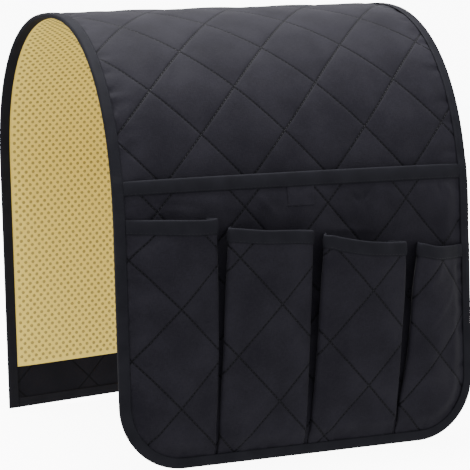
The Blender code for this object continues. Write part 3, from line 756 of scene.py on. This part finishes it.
# The panel lies over the cover's puffs and gapes at its mouth: a parabola across it, 1 - (x / side)^2,
# times an S curve upwards
def panelUnder(x, s):
    across = np.clip(1 - (x / panel["gapeSides"]) ** 2, 0, 1)
    gape = panel["gape"] * across * smooth(s, panel["gapeFrom"], panel["height"])
    return coverCrest(x, s) + panel["gap"] + gape


# What all the puffs of the panel stay under
def panelCrest(x, s):
    return panelUnder(x, s) + panel["thickness"] + panel["crest"] * freeShare(x, s)


def panelSurface(x, s):
    return lifted(armPoint, x, s, panelUnder(x, s))


panelBox = (*coverBox[:3], panel["height"] - blowing["mouthRim"])
panelBlown = blownPuffs("panelPuffs", panelSurface, panel, panelBox,
                        lambda x, s: clearOfBinding(x, s) & (s < panel["height"] - blowing["heldMouth"]))


# The panel's outside, whose puffs fade out below the mouth's tape
def panelTop(x, s):
    share = freeShare(x, s) * smooth(panel["height"] - s, *quilting["mouthEase"])
    return panelUnder(x, s) + quiltedTop(panel, panelBlown, x, s, share)


upperPocketPanel = makeCloth("upperPocketPanel", armPoint, (panel["crossing"], panel["parts"], layers["edge"],
                             panel["height"] - layers["edge"], saddleSides), panelTop, panelUnder, cloth,
                             "upper_pocket_panel")

# The four pockets, from left to right as seen from the front
pockets = {
    # the fronts' right and left edges beside each pleat, by height
    "rightEdges": (
        ((0, -.0888), (.05, -.0879), (.10, -.0859), (.15, -.0871), (.22, -.0890)),
        ((0, -.0005), (.05, -.0006), (.10, .0004), (.15, .0009), (.21, .0004)),
        ((0, .0884), (.05, .0907), (.07, .0912), (.10, .0925), (.15, .0938), (.19, .0920)),
    ),
    "leftEdges": (
        ((0, -.0878), (.05, -.0856), (.10, -.0826), (.15, -.0818), (.21, -.0795)),
        ((0, .0007), (.05, .0046), (.10, .0074), (.15, .0082), (.20, .0100)),
        ((0, .0903), (.03, .0910), (.05, .0945), (.07, .0985), (.10, .1018), (.15, .1032), (.185, .1085)),
    ),
    # the mouths' heights by the share across
    "mouths": (
        ((0, .2178), (.5, .2165), (.9, .2150), (1, .2160)),
        ((0, .2080), (.4, .2046), (.8, .2036), (1, .2018)),
        ((0, .1986), (.1, .1958), (.3, .1922), (.5, .1893), (.8, .1872), (1, .1866)),
        ((0, .1845), (.25, .1802), (.6, .1790), (1, .1788)),
    ),
    "mouthDepths": (0.012, 0.016, 0.020, 0.017),
    "crossings": ((-0.1228, 0.1405), (-0.0701, 0.0957), (0.0176, 0.1020), (0.1327, 0.0797)),
    "rise": (0.009, 0.060),  # a front gains its depth over this distance from the edge
    "risePower": 0.9,
    "fold": 0.0022,  # radius of a pleated corner,
    "foldShare": 0.45,  # and how much of a shallow pocket's depth it may take
    "lean": 0.55,  # how far a pleated side folds in under the front, per depth
    "leastDepth": 0.0003,
    "bow": 0.0040,  # how far a front bows out between its pleats
    "bowPower": 1.4,
    "cornerFade": (0.001, 0.010),  # the puffs start this far past a corner and are full this far in
    "cornerPuff": 0.25,  # what is left of them there
    "cornerHeld": 0.15,  # the simulation holds the cloth where they are less than this
    "gap": 0.0002,
    "thickness": 0.0010,
    "puff": 0.0020,
    "crest": 0.0024,
    "parts": 22,
    "blownParts": 14,
    "fill": 0.3,
    "seeds": (51, 61, 71, 81),
    "puckerSeeds": (45, 47, 49, 51),
    "creases": (
        ((-.1660, .1726, -.1480, .1722, -.0018, .0016), (-.1620, .1960, -.1470, .1985, -.0015, .0016),
         (-.1480, .1980, -.1370, .2060, -.0014, .0016), (-.1600, .1000, -.1300, .0900, .0006, .0050)),
        ((-.0500, .1700, -.0150, .1500, .0004, .0050),),
        ((.0150, .1780, .0300, .1650, .0005, .0030), (.0600, .1500, .0860, .1250, .0004, .0045)),
        ((.1230, .1080, .1400, .1300, .0007, .0026), (.1390, .1250, .1500, .1480, .0006, .0024),
         (.1260, .1500, .1320, .1640, .0005, .0022), (.1500, .1200, .1600, .0950, -.0006, .0022)),
    ),
}


# A table of (place, value) as a smooth curve: its straight pieces averaged over a window
def smoothTable(table, window):
    at, value = np.array(table).T
    dense = np.linspace(at[0], at[-1], 400)
    shifted = np.clip(dense + np.linspace(-window, window, 21)[:, None], dense[0], dense[-1])
    return dense, np.interp(shifted, at, value).mean(axis=0)


rightEdgeCurves = [smoothTable(table, 0.02) for table in pockets["rightEdges"]]
leftEdgeCurves = [smoothTable(table, 0.02) for table in pockets["leftEdges"]]
mouthCurves = [smoothTable(table, 0.08) for table in pockets["mouths"]]
mouthTops = [float(curve[1].max()) for curve in mouthCurves]


# Where the front of a pocket starts and ends along x
def pocketSides(number, s):
    left, right = -(halfWidthAt(s) - layers["edge"]), halfWidthAt(s) - layers["edge"]
    if number > 0:
        left = np.interp(s, *leftEdgeCurves[number - 1]) + pockets["thickness"]
    if number < 3:
        right = np.interp(s, *rightEdgeCurves[number]) - pockets["thickness"]
    return left, right


# How far a front stands off the panel: by the share of its height to a power, less near the edge
def pocketDepth(number, x, s):
    share = (np.clip(s, 0, None) / mouthTops[number]) ** pockets["risePower"]
    rise = smooth(edgeInset(x, s), *pockets["rise"]) * share
    return pockets["leastDepth"] + (pockets["mouthDepths"][number] - pockets["leastDepth"]) * rise


# The turned side of a pocket in its own section: an arc over the corner, then a straight run that
# folds in under the front, down to the panel. Gives depth, radius, turned angle and the run's length.
def sideParts(number, corner, s):
    depth = pocketDepth(number, corner, s)
    radius = np.minimum(pockets["fold"], depth * pockets["foldShare"])
    turned = math.pi / 2 + math.atan(pockets["lean"])
    run = (depth - radius + radius * math.cos(turned)) / math.sin(turned)
    return depth, radius, turned, run


# How far a turned side's pattern goes past the front's own edge: the arc and the run, less the radius
def sideLength(number, corner, s):
    radius, turned, run = sideParts(number, corner, s)[1:]
    return radius * turned + run - radius


# The two edges of a pocket's flat pattern, with its pleated sides
def patternSides(number, s):
    left, right = pocketSides(number, s)
    if number > 0:
        left = left - sideLength(number, left, s)
    if number < 3:
        right = right + sideLength(number, right, s)
    return left, right


# A place past a pocket's corner: how far inside the corner it lies, and the share of the way down.
# Round the arc by sine and cosine of the turned angle, then straight on.
def turnedSide(number, past, corner, s):
    depth, radius, turned, run = sideParts(number, corner, s)
    q = past + radius
    angle = np.clip(q / radius, 0, turned)
    straight = np.maximum(q - radius * turned, 0)
    inside = radius * (1 - np.sin(angle)) - np.minimum(q, 0) - straight * math.cos(turned)
    down = radius * (1 - np.cos(angle)) + straight * math.sin(turned)
    return inside, np.clip(down / depth, 0, 1)


# A pattern place of a pocket as x and its height over the panel: the depth and a bow across the
# front, a sine to a power, and the two turned sides
def pocketPlace(number, v, s):
    v, s = np.broadcast_arrays(v, s)
    left, right = pocketSides(number, s)
    middle = (left + right) / 2
    x, kept = v + 0.0, np.ones(v.shape)
    if number > 0:
        inside, down = turnedSide(number, left - v, left, s)
        x = np.where(v < middle, left + inside, x)
        kept = np.where(v < middle, 1 - down, kept)
    if number < 3:
        inside, down = turnedSide(number, v - right, right, s)
        x = np.where(v < middle, x, right - inside)
        kept = np.where(v < middle, kept, 1 - down)
    arch = np.sin(math.pi * ramp(v, left, right)) ** pockets["bowPower"]
    share = np.clip(s, 0, None) / mouthTops[number] * smooth(edgeInset(v, s), *pockets["rise"])
    return x, (pocketDepth(number, np.clip(v, left, right), s) + pockets["bow"] * share * arch) * kept


# The surface that a pocket's pattern lies on: the panel, with the front and its turned sides over it
def pocketSurface(number):
    def surface(v, s):
        x, rise = pocketPlace(number, v, s)
        return lifted(armPoint, x, s, panelCrest(x, s) + pockets["gap"] + rise)
    return surface


# Height of a mouth, by how far v is across the front
def mouthLine(number, v):
    left, right = pocketSides(number, mouthTops[number])
    return np.interp(ramp(v, left, right), *mouthCurves[number])


# 1 on a pocket's front, falling to 0 at its turned corners
def onFront(number, v, s):
    left, right = pocketSides(number, s)
    outside, inside = pockets["cornerFade"]
    share = np.ones(np.broadcast(v, s).shape)
    if number > 0:
        share = share * smooth(v - left, -outside, inside)
    if number < 3:
        share = share * smooth(right - v, -outside, inside)
    return share


# Blows a pocket's puffs, held at its corners, beside the binding and below its mouth
def blowPocket(number):
    left, right = pocketSides(number, np.linspace(0.01, mouthTops[number], 50))
    rim = blowing["rim"]
    ends = float(np.min(left)) - rim, float(np.max(right)) + rim

    def freeAt(v, s):
        below = mouthLine(number, v) - blowing["heldMouth"]
        return (onFront(number, v, s) > pockets["cornerHeld"]) & clearOfBinding(v, s) & (s < below)

    return blownPuffs("pocketPuffs" + str(number + 1), pocketSurface(number), eachPocket[number],
                      (*ends, rim, mouthTops[number] - blowing["mouthRim"]), freeAt)


# What the four pockets share, with each one's own crossing, creases and seeds
def onePocket(number):
    own = {"crossing": "crossings", "creases": "creases", "seed": "seeds", "puckerSeed": "puckerSeeds"}
    return {**pockets, **{one: pockets[many][number] for one, many in own.items()}}


eachPocket = [onePocket(number) for number in range(4)]
pocketBlown = [blowPocket(number) for number in range(4)]


# How far a pocket's outside stands off its surface
def pocketTop(number, v, s):
    kept = pockets["cornerPuff"] + (1 - pockets["cornerPuff"]) * onFront(number, v, s)
    share = freeShare(v, s) * smooth(mouthLine(number, v) - s, *quilting["mouthEase"]) * kept
    return quiltedTop(eachPocket[number], pocketBlown[number], v, s, share)


def makePocket(number):
    pattern = (pockets["crossings"][number], pockets["parts"], layers["edge"], mouthTops[number],
               lambda s: patternSides(number, s), lambda v: mouthLine(number, v) - layers["edge"])
    item = makeCloth("pocket" + str(number + 1), pocketSurface(number), pattern,
                     lambda v, s: pocketTop(number, v, s), lambda v, s: 0.0, cloth, "pocket_" + str(number + 1))


for number in range(4):
    makePocket(number)

# The folded tapes over every raw edge
tapes = {
    "width": 0.0118,  # from the fold to the tape's edge
    "thickness": 0.0008,
    "bulge": 0.0004,
    "bulgePower": 0.7,
    "foldAt": 0.0016,  # its two halves turn into the fold here,
    "foldOutside": 0.0022,  # which reaches this much further on its outside
    "foldInside": 0.0010,  # and this much on its inside
    "places": (8, 7),  # places along each half and round the fold
    "clearance": 0.0001,
    "stitchAt": 0.0104,  # the row of stitches, from the fold
    "bindingWidth": 0.0093,
    "bindingStitchAt": 0.0079,
    "bindingStep": 0.0025,
    "hemEnd": 0.1656,  # half the length of the rear hem's tape
    "mouthEnd": 0.1656,  # where the mouths' tapes meet the binding
    "sideGap": 0.004,  # share of a pocket's pattern that its tape leaves at each end
    "stations": (220, 110),  # along the long tapes and along a pocket's
    "stackReach": 0.008,  # the binding starts to climb this far above a mouth
    "stackEase": 0.010,  # and climbs over this distance
}


# The closed section of a folded tape: down its outside, round the fold, down its inside and back
# along the cloth. The halves bulge as a sine to a power, and the fold is an arc by sine and cosine.
# Gives distance from the fold, lift, and the share that is on the cloth's top side.
def tapeSection(width):
    thick, fold, clear = tapes["thickness"], tapes["foldAt"], tapes["clearance"]
    alongHalf, roundFold = tapes["places"]
    legs = np.linspace(width, fold, alongHalf)
    bulge = tapes["bulge"] * np.sin(math.pi * ramp(legs, fold, width)) ** tapes["bulgePower"]
    turn = np.linspace(math.pi / 2, -math.pi / 2, roundFold)[1:-1]
    back, up, level = turn[::-1], legs[::-1], 0 * legs
    outside, inside = fold - tapes["foldOutside"] * np.cos(turn), fold - tapes["foldInside"] * np.cos(back)
    drop = np.concatenate((legs, outside, up, legs, inside, up))
    lift = (thick + bulge, thick * np.sin(turn), level - thick, level - clear, 0 * back, level + clear)
    side = (level + 1, (np.sin(turn) + 1) / 2, level, level, (np.sin(back) + 1) / 2, level + 1)
    around = np.cumsum(np.abs(np.diff(drop, prepend=drop[0])))
    return drop, np.concatenate(lift), np.concatenate(side), around


# A tape over a mouth: its section hangs from the mouth's line at each station. The line and the
# tape's ends depend on each other, so its height is found twice.
def mouthTape(name, node, surface, placeAt, mouth, thickness, stations):
    drop, lift, side, around = tapeSection(tapes["width"])
    q, down = np.meshgrid(np.linspace(0, 1, stations), drop, indexing="ij")
    firstHeight = 0.2
    s = mouth(placeAt(q, firstHeight)) - down
    s = mouth(placeAt(q, s)) - down
    place = lifted(surface, placeAt(q, s), s, side * thickness + lift)
    return finishPiece(closedStrip(name, place, around), tape, node)


def upperMouth(v):
    return panel["height"] + 0 * v


# Where a place of a pocket's tape lies along the pattern, from 0 at its left end to 1 at its right
def pocketTapePlace(number):
    def place(q, s):
        left, right = patternSides(number, s)
        if number == 0:
            left = -tapes["mouthEnd"]
        if number == 3:
            right = tapes["mouthEnd"]
        return left + (right - left) * (tapes["sideGap"] + (1 - 2 * tapes["sideGap"]) * q)
    return place


# The top of the stack of cloths at the edge, under the binding's outer side
def stackTop(x, s):
    mouth = np.where(x < 0, mouthTops[0], pockets["mouths"][3][-1][1])
    top = layers["coverTop"][0]
    for height, piece in ((panel["height"], panel), (mouth, pockets)):
        climbed = smooth(height + tapes["stackReach"] - s, 0, tapes["stackEase"])
        top = top + climbed * (piece["gap"] + piece["thickness"])
    return top


# The edge's line from the rear hem down the left side, round the two front corners by quarter
# circles and up the right side, with the direction inwards at each place
def edgeLine(step):
    radius, half = arm["cornerRadius"], arm["halfWidth"]
    middle = half - radius
    sideS = np.arange(coverLength, radius, -step)
    turns = np.linspace(0, math.pi / 2, max(8, int(radius * math.pi / 2 / step)))
    bottom = np.arange(-middle + step, middle, step)
    back, none, one = turns[::-1], 0 * sideS, 0 * sideS + 1
    x = (-half * one, -middle - radius * np.cos(turns), bottom, middle + radius * np.cos(back), half * one)
    s = (sideS, radius * (1 - np.sin(turns)), 0 * bottom, radius * (1 - np.sin(back)), sideS[::-1])
    inX = (one, np.cos(turns), 0 * bottom, -np.cos(back), -one)
    inS = (none, np.sin(turns), 0 * bottom + 1, np.sin(back), none)
    return [np.concatenate(parts) for parts in (x, s, inX, inS)]


# A folded tape whose inside and outside lie on the cloths' underside and top
def edgeTape(name, node, x, s, section, under, top):
    lift, side, around = section
    place = lifted(armPoint, x, s, under + (top - under) * side + lift)
    return finishPiece(closedStrip(name, place[::-1], around), tape, node)


# The binding: the section laid inwards from each place of the edge's line
def makeBinding():
    drop, *section = tapeSection(tapes["bindingWidth"])
    edgeX, edgeS, inX, inS = (values[:, None] for values in edgeLine(tapes["bindingStep"]))
    x, s = edgeX + inX * drop, edgeS + inS * drop
    under, top = layers["liningUnder"][0] - tapes["clearance"], stackTop(x, s) + tapes["clearance"]
    return edgeTape("edgeBinding", "edge_binding", x, s, section, under, top)


# The rear hem's tape: the same section along a straight line
def makeRearTape():
    drop, *section = tapeSection(tapes["bindingWidth"])
    x = np.linspace(-tapes["hemEnd"], tapes["hemEnd"], tapes["stations"][0])[:, None] + 0 * drop
    s = coverLength - drop + 0 * x
    under, top = layers["backingUnder"][0], layers["coverTop"][0]
    return edgeTape("rearHemTape", "rear_hem_tape", x, s, section, under, top)


longTape, shortTape = tapes["stations"]
mouthTape("upperPocketTape", "upper_pocket_tape", panelSurface,
          lambda q, s: tapes["mouthEnd"] * (2 * q - 1) + 0 * s, upperMouth, panel["thickness"], longTape)
for number in range(4):
    mouthTape("pocketTape%d" % (number + 1), "pocket_%d_tape" % (number + 1), pocketSurface(number),
              pocketTapePlace(number), lambda v: mouthLine(number, v), pockets["thickness"], shortTape)
makeBinding()
makeRearTape()
print("tapes made")

# The bare cloth tab whose top is sewn in under the upper tape
tab = {
    "left": -0.0165,
    "right": 0.0100,
    "low": 0.2220,
    "high": 0.2390,
    "thickness": 0.0004,
    "cut": (0.0265, 0.0170),
    "places": (30, 18),
    "clearance": 0.0001,
    "unevenness": 0.0002,
    "noiseSize": 0.009,
    "seed": 77,
}


# The tab: a grid on the panel's outside, lifted by noise squared
def makeTab():
    columns = np.linspace(tab["left"], tab["right"], tab["places"][0])
    rows = np.linspace(tab["low"], tab["high"], tab["places"][1])
    x, s = np.meshgrid(columns, rows, indexing="ij")
    faces = halves(*quadGrid(x.shape).T)
    x, s = x.ravel(), s.ravel()
    uneven = tab["unevenness"] * softNoise(x, s, tab["noiseSize"], tab["seed"]) ** 2
    base = panelTop(x, s) + tab["clearance"] + uneven
    under, top = (lifted(armPoint, x, s, base + lift) for lift in (0, tab["thickness"]))
    item = closedCloth("clothTab", np.stack((x, s), 1), faces, top, under)
    finishPiece(item, cloth, "cloth_tab")


makeTab()

# The sewing threads: rows of stitches, each a small long bead
stitches = {
    "length": 0.0028,
    "width": 0.0006,
    "height": 0.0004,
    "rings": ((-0.32, 0.75), (0, 1), (0.32, 0.75)),  # place along the bead and share of its width
    "sides": 5,
    "quiltPitch": 0.0036,
    "tapePitch": 0.0036,
    "halfStep": 0.0008,  # half the distance over which a stitch's direction is found
    "lift": 0.0001,  # how far the rows stand off a mouth's tape,
    "edgeLift": 0.0002,  # and off the binding and the rear hem's tape
    "clear": 0.012,  # the quilting's rows show from this far in from the edge,
    "cornerClear": 0.1,  # up to where a pocket's front has turned to this share
    "underTape": 0.010,  # and go on under the upper mouth's tape this far
    "mouthEnd": 0.165,  # the mouths' rows end here, or at a pocket's corner,
    "mouthGap": 0.001,  # with this gap
    "quiltLines": 14,  # lines each side of a crossing, and how far each goes
    "quiltReach": 1.1,
    "lowest": 0.010,  # no row goes below this
}


# A bead for each stitch: rings along it, whose points are cosine and sine of the turn times half the
# width and height, and a tip at each end
def makeStitches(name, centre, along, out):
    side = np.cross(out, along)
    sides = stitches["sides"]
    k = np.arange(sides)
    m = (k + 1) % sides
    turns = k * 2 * math.pi / sides
    ringAt, ringSize = np.array(stitches["rings"]).T[:, :, None]
    tip = stitches["length"] / 2
    around = ringSize * np.array((np.cos(turns), np.sin(turns)))[:, None]
    rings = np.stack(((ringAt + 0 * turns) * stitches["length"], around[0] * stitches["width"] / 2,
                      around[1] * stitches["height"] / 2), -1)
    local = np.concatenate((rings.reshape(-1, 3), [(-tip, 0, 0), (tip, 0, 0)]))
    points = sum(axis[:, None] * local[None, :, n:n + 1] for n, axis in enumerate((along, side, out)))
    points = centre[:, None] + points
    ring = halves(k, m, sides + m, sides + k)
    last, tip = 2 * sides, 3 * sides + 0 * k
    tips = np.concatenate((np.stack((tip, m, k), 1), np.stack((tip + 1, last + k, last + m), 1)))
    one = np.concatenate((ring, ring + sides, tips))
    faces = (np.arange(len(centre)) * len(local))[:, None, None] + one[None]
    return finishPiece(makeObject(name, points.reshape(-1, 3), faces.reshape(-1, 3)), thread)


# Places, directions and normals of stitches on a surface, from their pattern places and steps
def stitchFrames(surface, liftAt, x, s, dx, ds):
    before = lifted(surface, x - dx, s - ds, liftAt(x - dx, s - ds))
    after = lifted(surface, x + dx, s + ds, liftAt(x + dx, s + ds))
    out = lifted(surface, x, s, 0.001) - lifted(surface, x, s, 0.0)
    along = (after - before) / np.linalg.norm(after - before, axis=1, keepdims=True)
    out = out - along * (out * along).sum(1)[:, None]
    return (before + after) / 2, along, out / np.linalg.norm(out, axis=1, keepdims=True)


# Stitches along both sets of seams of one cloth, kept where the test says that it is free
def quiltStitches(surface, liftAt, crossing, keep):
    width, height = quilting["diamondWidth"], quilting["diamondHeight"]
    span, lines, reach = math.hypot(width, height), stitches["quiltLines"], stitches["quiltReach"]
    places = np.arange(-reach, reach, stitches["quiltPitch"])
    number, t = np.meshgrid(np.arange(-lines, lines + 1), places, indexing="ij")
    found = []
    for sign in (1, -1):
        x = (crossing[0] + number * width + sign * t * width / span).ravel()
        s = (crossing[1] - t * height / span).ravel()
        inside = (np.abs(x) < arm["halfWidth"]) & (s > stitches["lowest"]) & (s < coverLength)
        x, s = x[inside], s[inside]
        kept = keep(x, s) & (edgeInset(x, s) > stitches["clear"])
        step = stitches["halfStep"] / span
        found.append(stitchFrames(surface, liftAt, x[kept], s[kept], sign * width * step, -height * step))
    return joined(found)


# Several sets of stitches as one
def joined(sets):
    return [np.concatenate(kind) for kind in zip(*sets)]


# A row of stitches along a tape over a mouth
def tapeStitches(surface, thickness, mouth, left, right):
    step, lift = stitches["halfStep"], thickness + tapes["thickness"] + stitches["lift"]
    x = np.arange(left, right, stitches["tapePitch"])
    slope = (mouth(x + step) - mouth(x - step)) / 2
    return stitchFrames(surface, lambda x, s: lift, x, mouth(x) - tapes["stitchAt"], step, slope)


# A row of stitches along the binding or the rear hem's tape
def edgeStitches(name, topAt, x, s, dx, ds):
    lift = tapes["thickness"] + stitches["edgeLift"]
    step = stitches["halfStep"]
    makeStitches(name, *stitchFrames(armPoint, lambda x, s: topAt(x, s) + lift, x, s, dx * step, ds * step))


# The test for a pocket's rows, on its front and below its tape
def pocketKeep(number):
    def keep(v, s):
        return (onFront(number, v, s) > stitches["cornerClear"]) & (s < mouthLine(number, v) - tapes["width"])
    return keep


def makeAllStitches():
    makeStitches("coverStitches", *quiltStitches(armPoint, coverTop, cover["crossing"],
                                                 lambda x, s: s > panel["height"] - stitches["underTape"]))
    groups = [quiltStitches(armPoint, panelTop, panel["crossing"],
                            lambda x, s: s < panel["height"] - tapes["width"])]
    rows = [tapeStitches(panelSurface, panel["thickness"], upperMouth, -tapes["mouthEnd"], tapes["mouthEnd"])]
    end, gap = stitches["mouthEnd"], stitches["mouthGap"]
    for number in range(4):
        surface = pocketSurface(number)
        groups.append(quiltStitches(surface, lambda v, s: pocketTop(number, v, s),
                                    pockets["crossings"][number], pocketKeep(number)))
        left, right = pocketSides(number, mouthTops[number])
        rows.append(tapeStitches(surface, pockets["thickness"], lambda v: mouthLine(number, v),
                                 max(left, -end) + gap, min(right, end) - gap))
    makeStitches("frontStitches", *joined(groups))
    makeStitches("mouthStitches", *joined(rows))
    x, s, inX, inS = (values[2:-2] for values in edgeLine(stitches["tapePitch"]))
    at = tapes["bindingStitchAt"]
    edgeStitches("bindingStitches", stackTop, x + inX * at, s + inS * at, -inS, inX)
    x = np.arange(-tapes["hemEnd"], tapes["hemEnd"], stitches["tapePitch"])
    edgeStitches("rearHemStitches", lambda x, s: layers["coverTop"][0], x, coverLength - at + 0 * x, 1, 0)


makeAllStitches()
print("stitches made")

# The studio: a pale paper floor, soft even light and one large lamp above
studio = {
    "floorDrop": 0.0035,  # the floor is this far under the front hem, just clear of the rear one
    "floorSize": 9.0,
    "floorGlow": 9.0,  # keeps the paper white in the object's shadow
    "airLight": 1.55,  # even light on the object
    "airShown": 10.0,  # brightness of the air behind it
    "lampPlace": (-0.2, 0.22, 2.2),
    "lampAim": (0, 0, -0.1),
    "lampSize": 1.6,
    "lampPower": 205,
}


def makeFloor():
    mesh = bpy.data.meshes.new("studioFloor")
    reach, low = studio["floorSize"], arm["hemHeight"] - studio["floorDrop"]
    corners = [(x * reach, y * reach, low) for x, y in ((-1, -1), (1, -1), (1, 1), (-1, 1))]
    mesh.from_pydata(corners, [], [(0, 1, 2, 3)])
    floor = addToScene("studioFloor", mesh)
    material, tree, shader = newMaterial("whiteStudioPaper")
    setInputs(tree, shader, {
        "Base Color": "#bcbcbc",
        "Roughness": 0.9,
        "Specular IOR Level": 0.0,
        "Emission Color": "#ffffff",
        "Emission Strength": studio["floorGlow"],
    })
    mesh.materials.append(material)
    floor.visible_diffuse = False  # the even light stands in for what the paper would throw back
    floor.visible_glossy = False


def makeLight():
    world = bpy.data.worlds.new("studioAir")
    world.use_nodes = True
    sky = world.node_tree
    seen = addNode(sky, "ShaderNodeLightPath", output="Is Camera Ray")
    strength = addNode(sky, "ShaderNodeMapRange", inputs={
        "Value": seen, "To Min": studio["airLight"], "To Max": studio["airShown"]})
    setInputs(sky, sky.nodes["Background"], {"Color": "#ffffff", "Strength": strength})
    bpy.context.scene.world = world
    lamp = bpy.data.lights.new("topLamp", "AREA")
    lamp.shape = "DISK"
    lamp.size = studio["lampSize"]
    lamp.energy = studio["lampPower"]
    item = addToScene("topLamp", lamp)
    item.location = studio["lampPlace"]
    item.rotation_euler = (Vector(studio["lampAim"]) - item.location).to_track_quat("-Z", "Y").to_euler()


# The camera stands to the front left, as in the photograph
view = {
    "place": (-0.67156286, -1.52694464, -0.04213343),
    "turn": (84.1654505, 0.83565982, -24.22744074),
    "lens": 131.3205,
    "sensor": 36,
}


def makeCamera():
    data = bpy.data.cameras.new("photoView")
    data.lens = view["lens"]
    data.sensor_width = view["sensor"]
    camera = addToScene("photoView", data)
    camera.location = view["place"]
    camera.rotation_euler = Euler([math.radians(angle) for angle in view["turn"]], "XYZ")
    bpy.context.scene.camera = camera


makeFloor()
makeLight()
makeCamera()

print("scene finished")
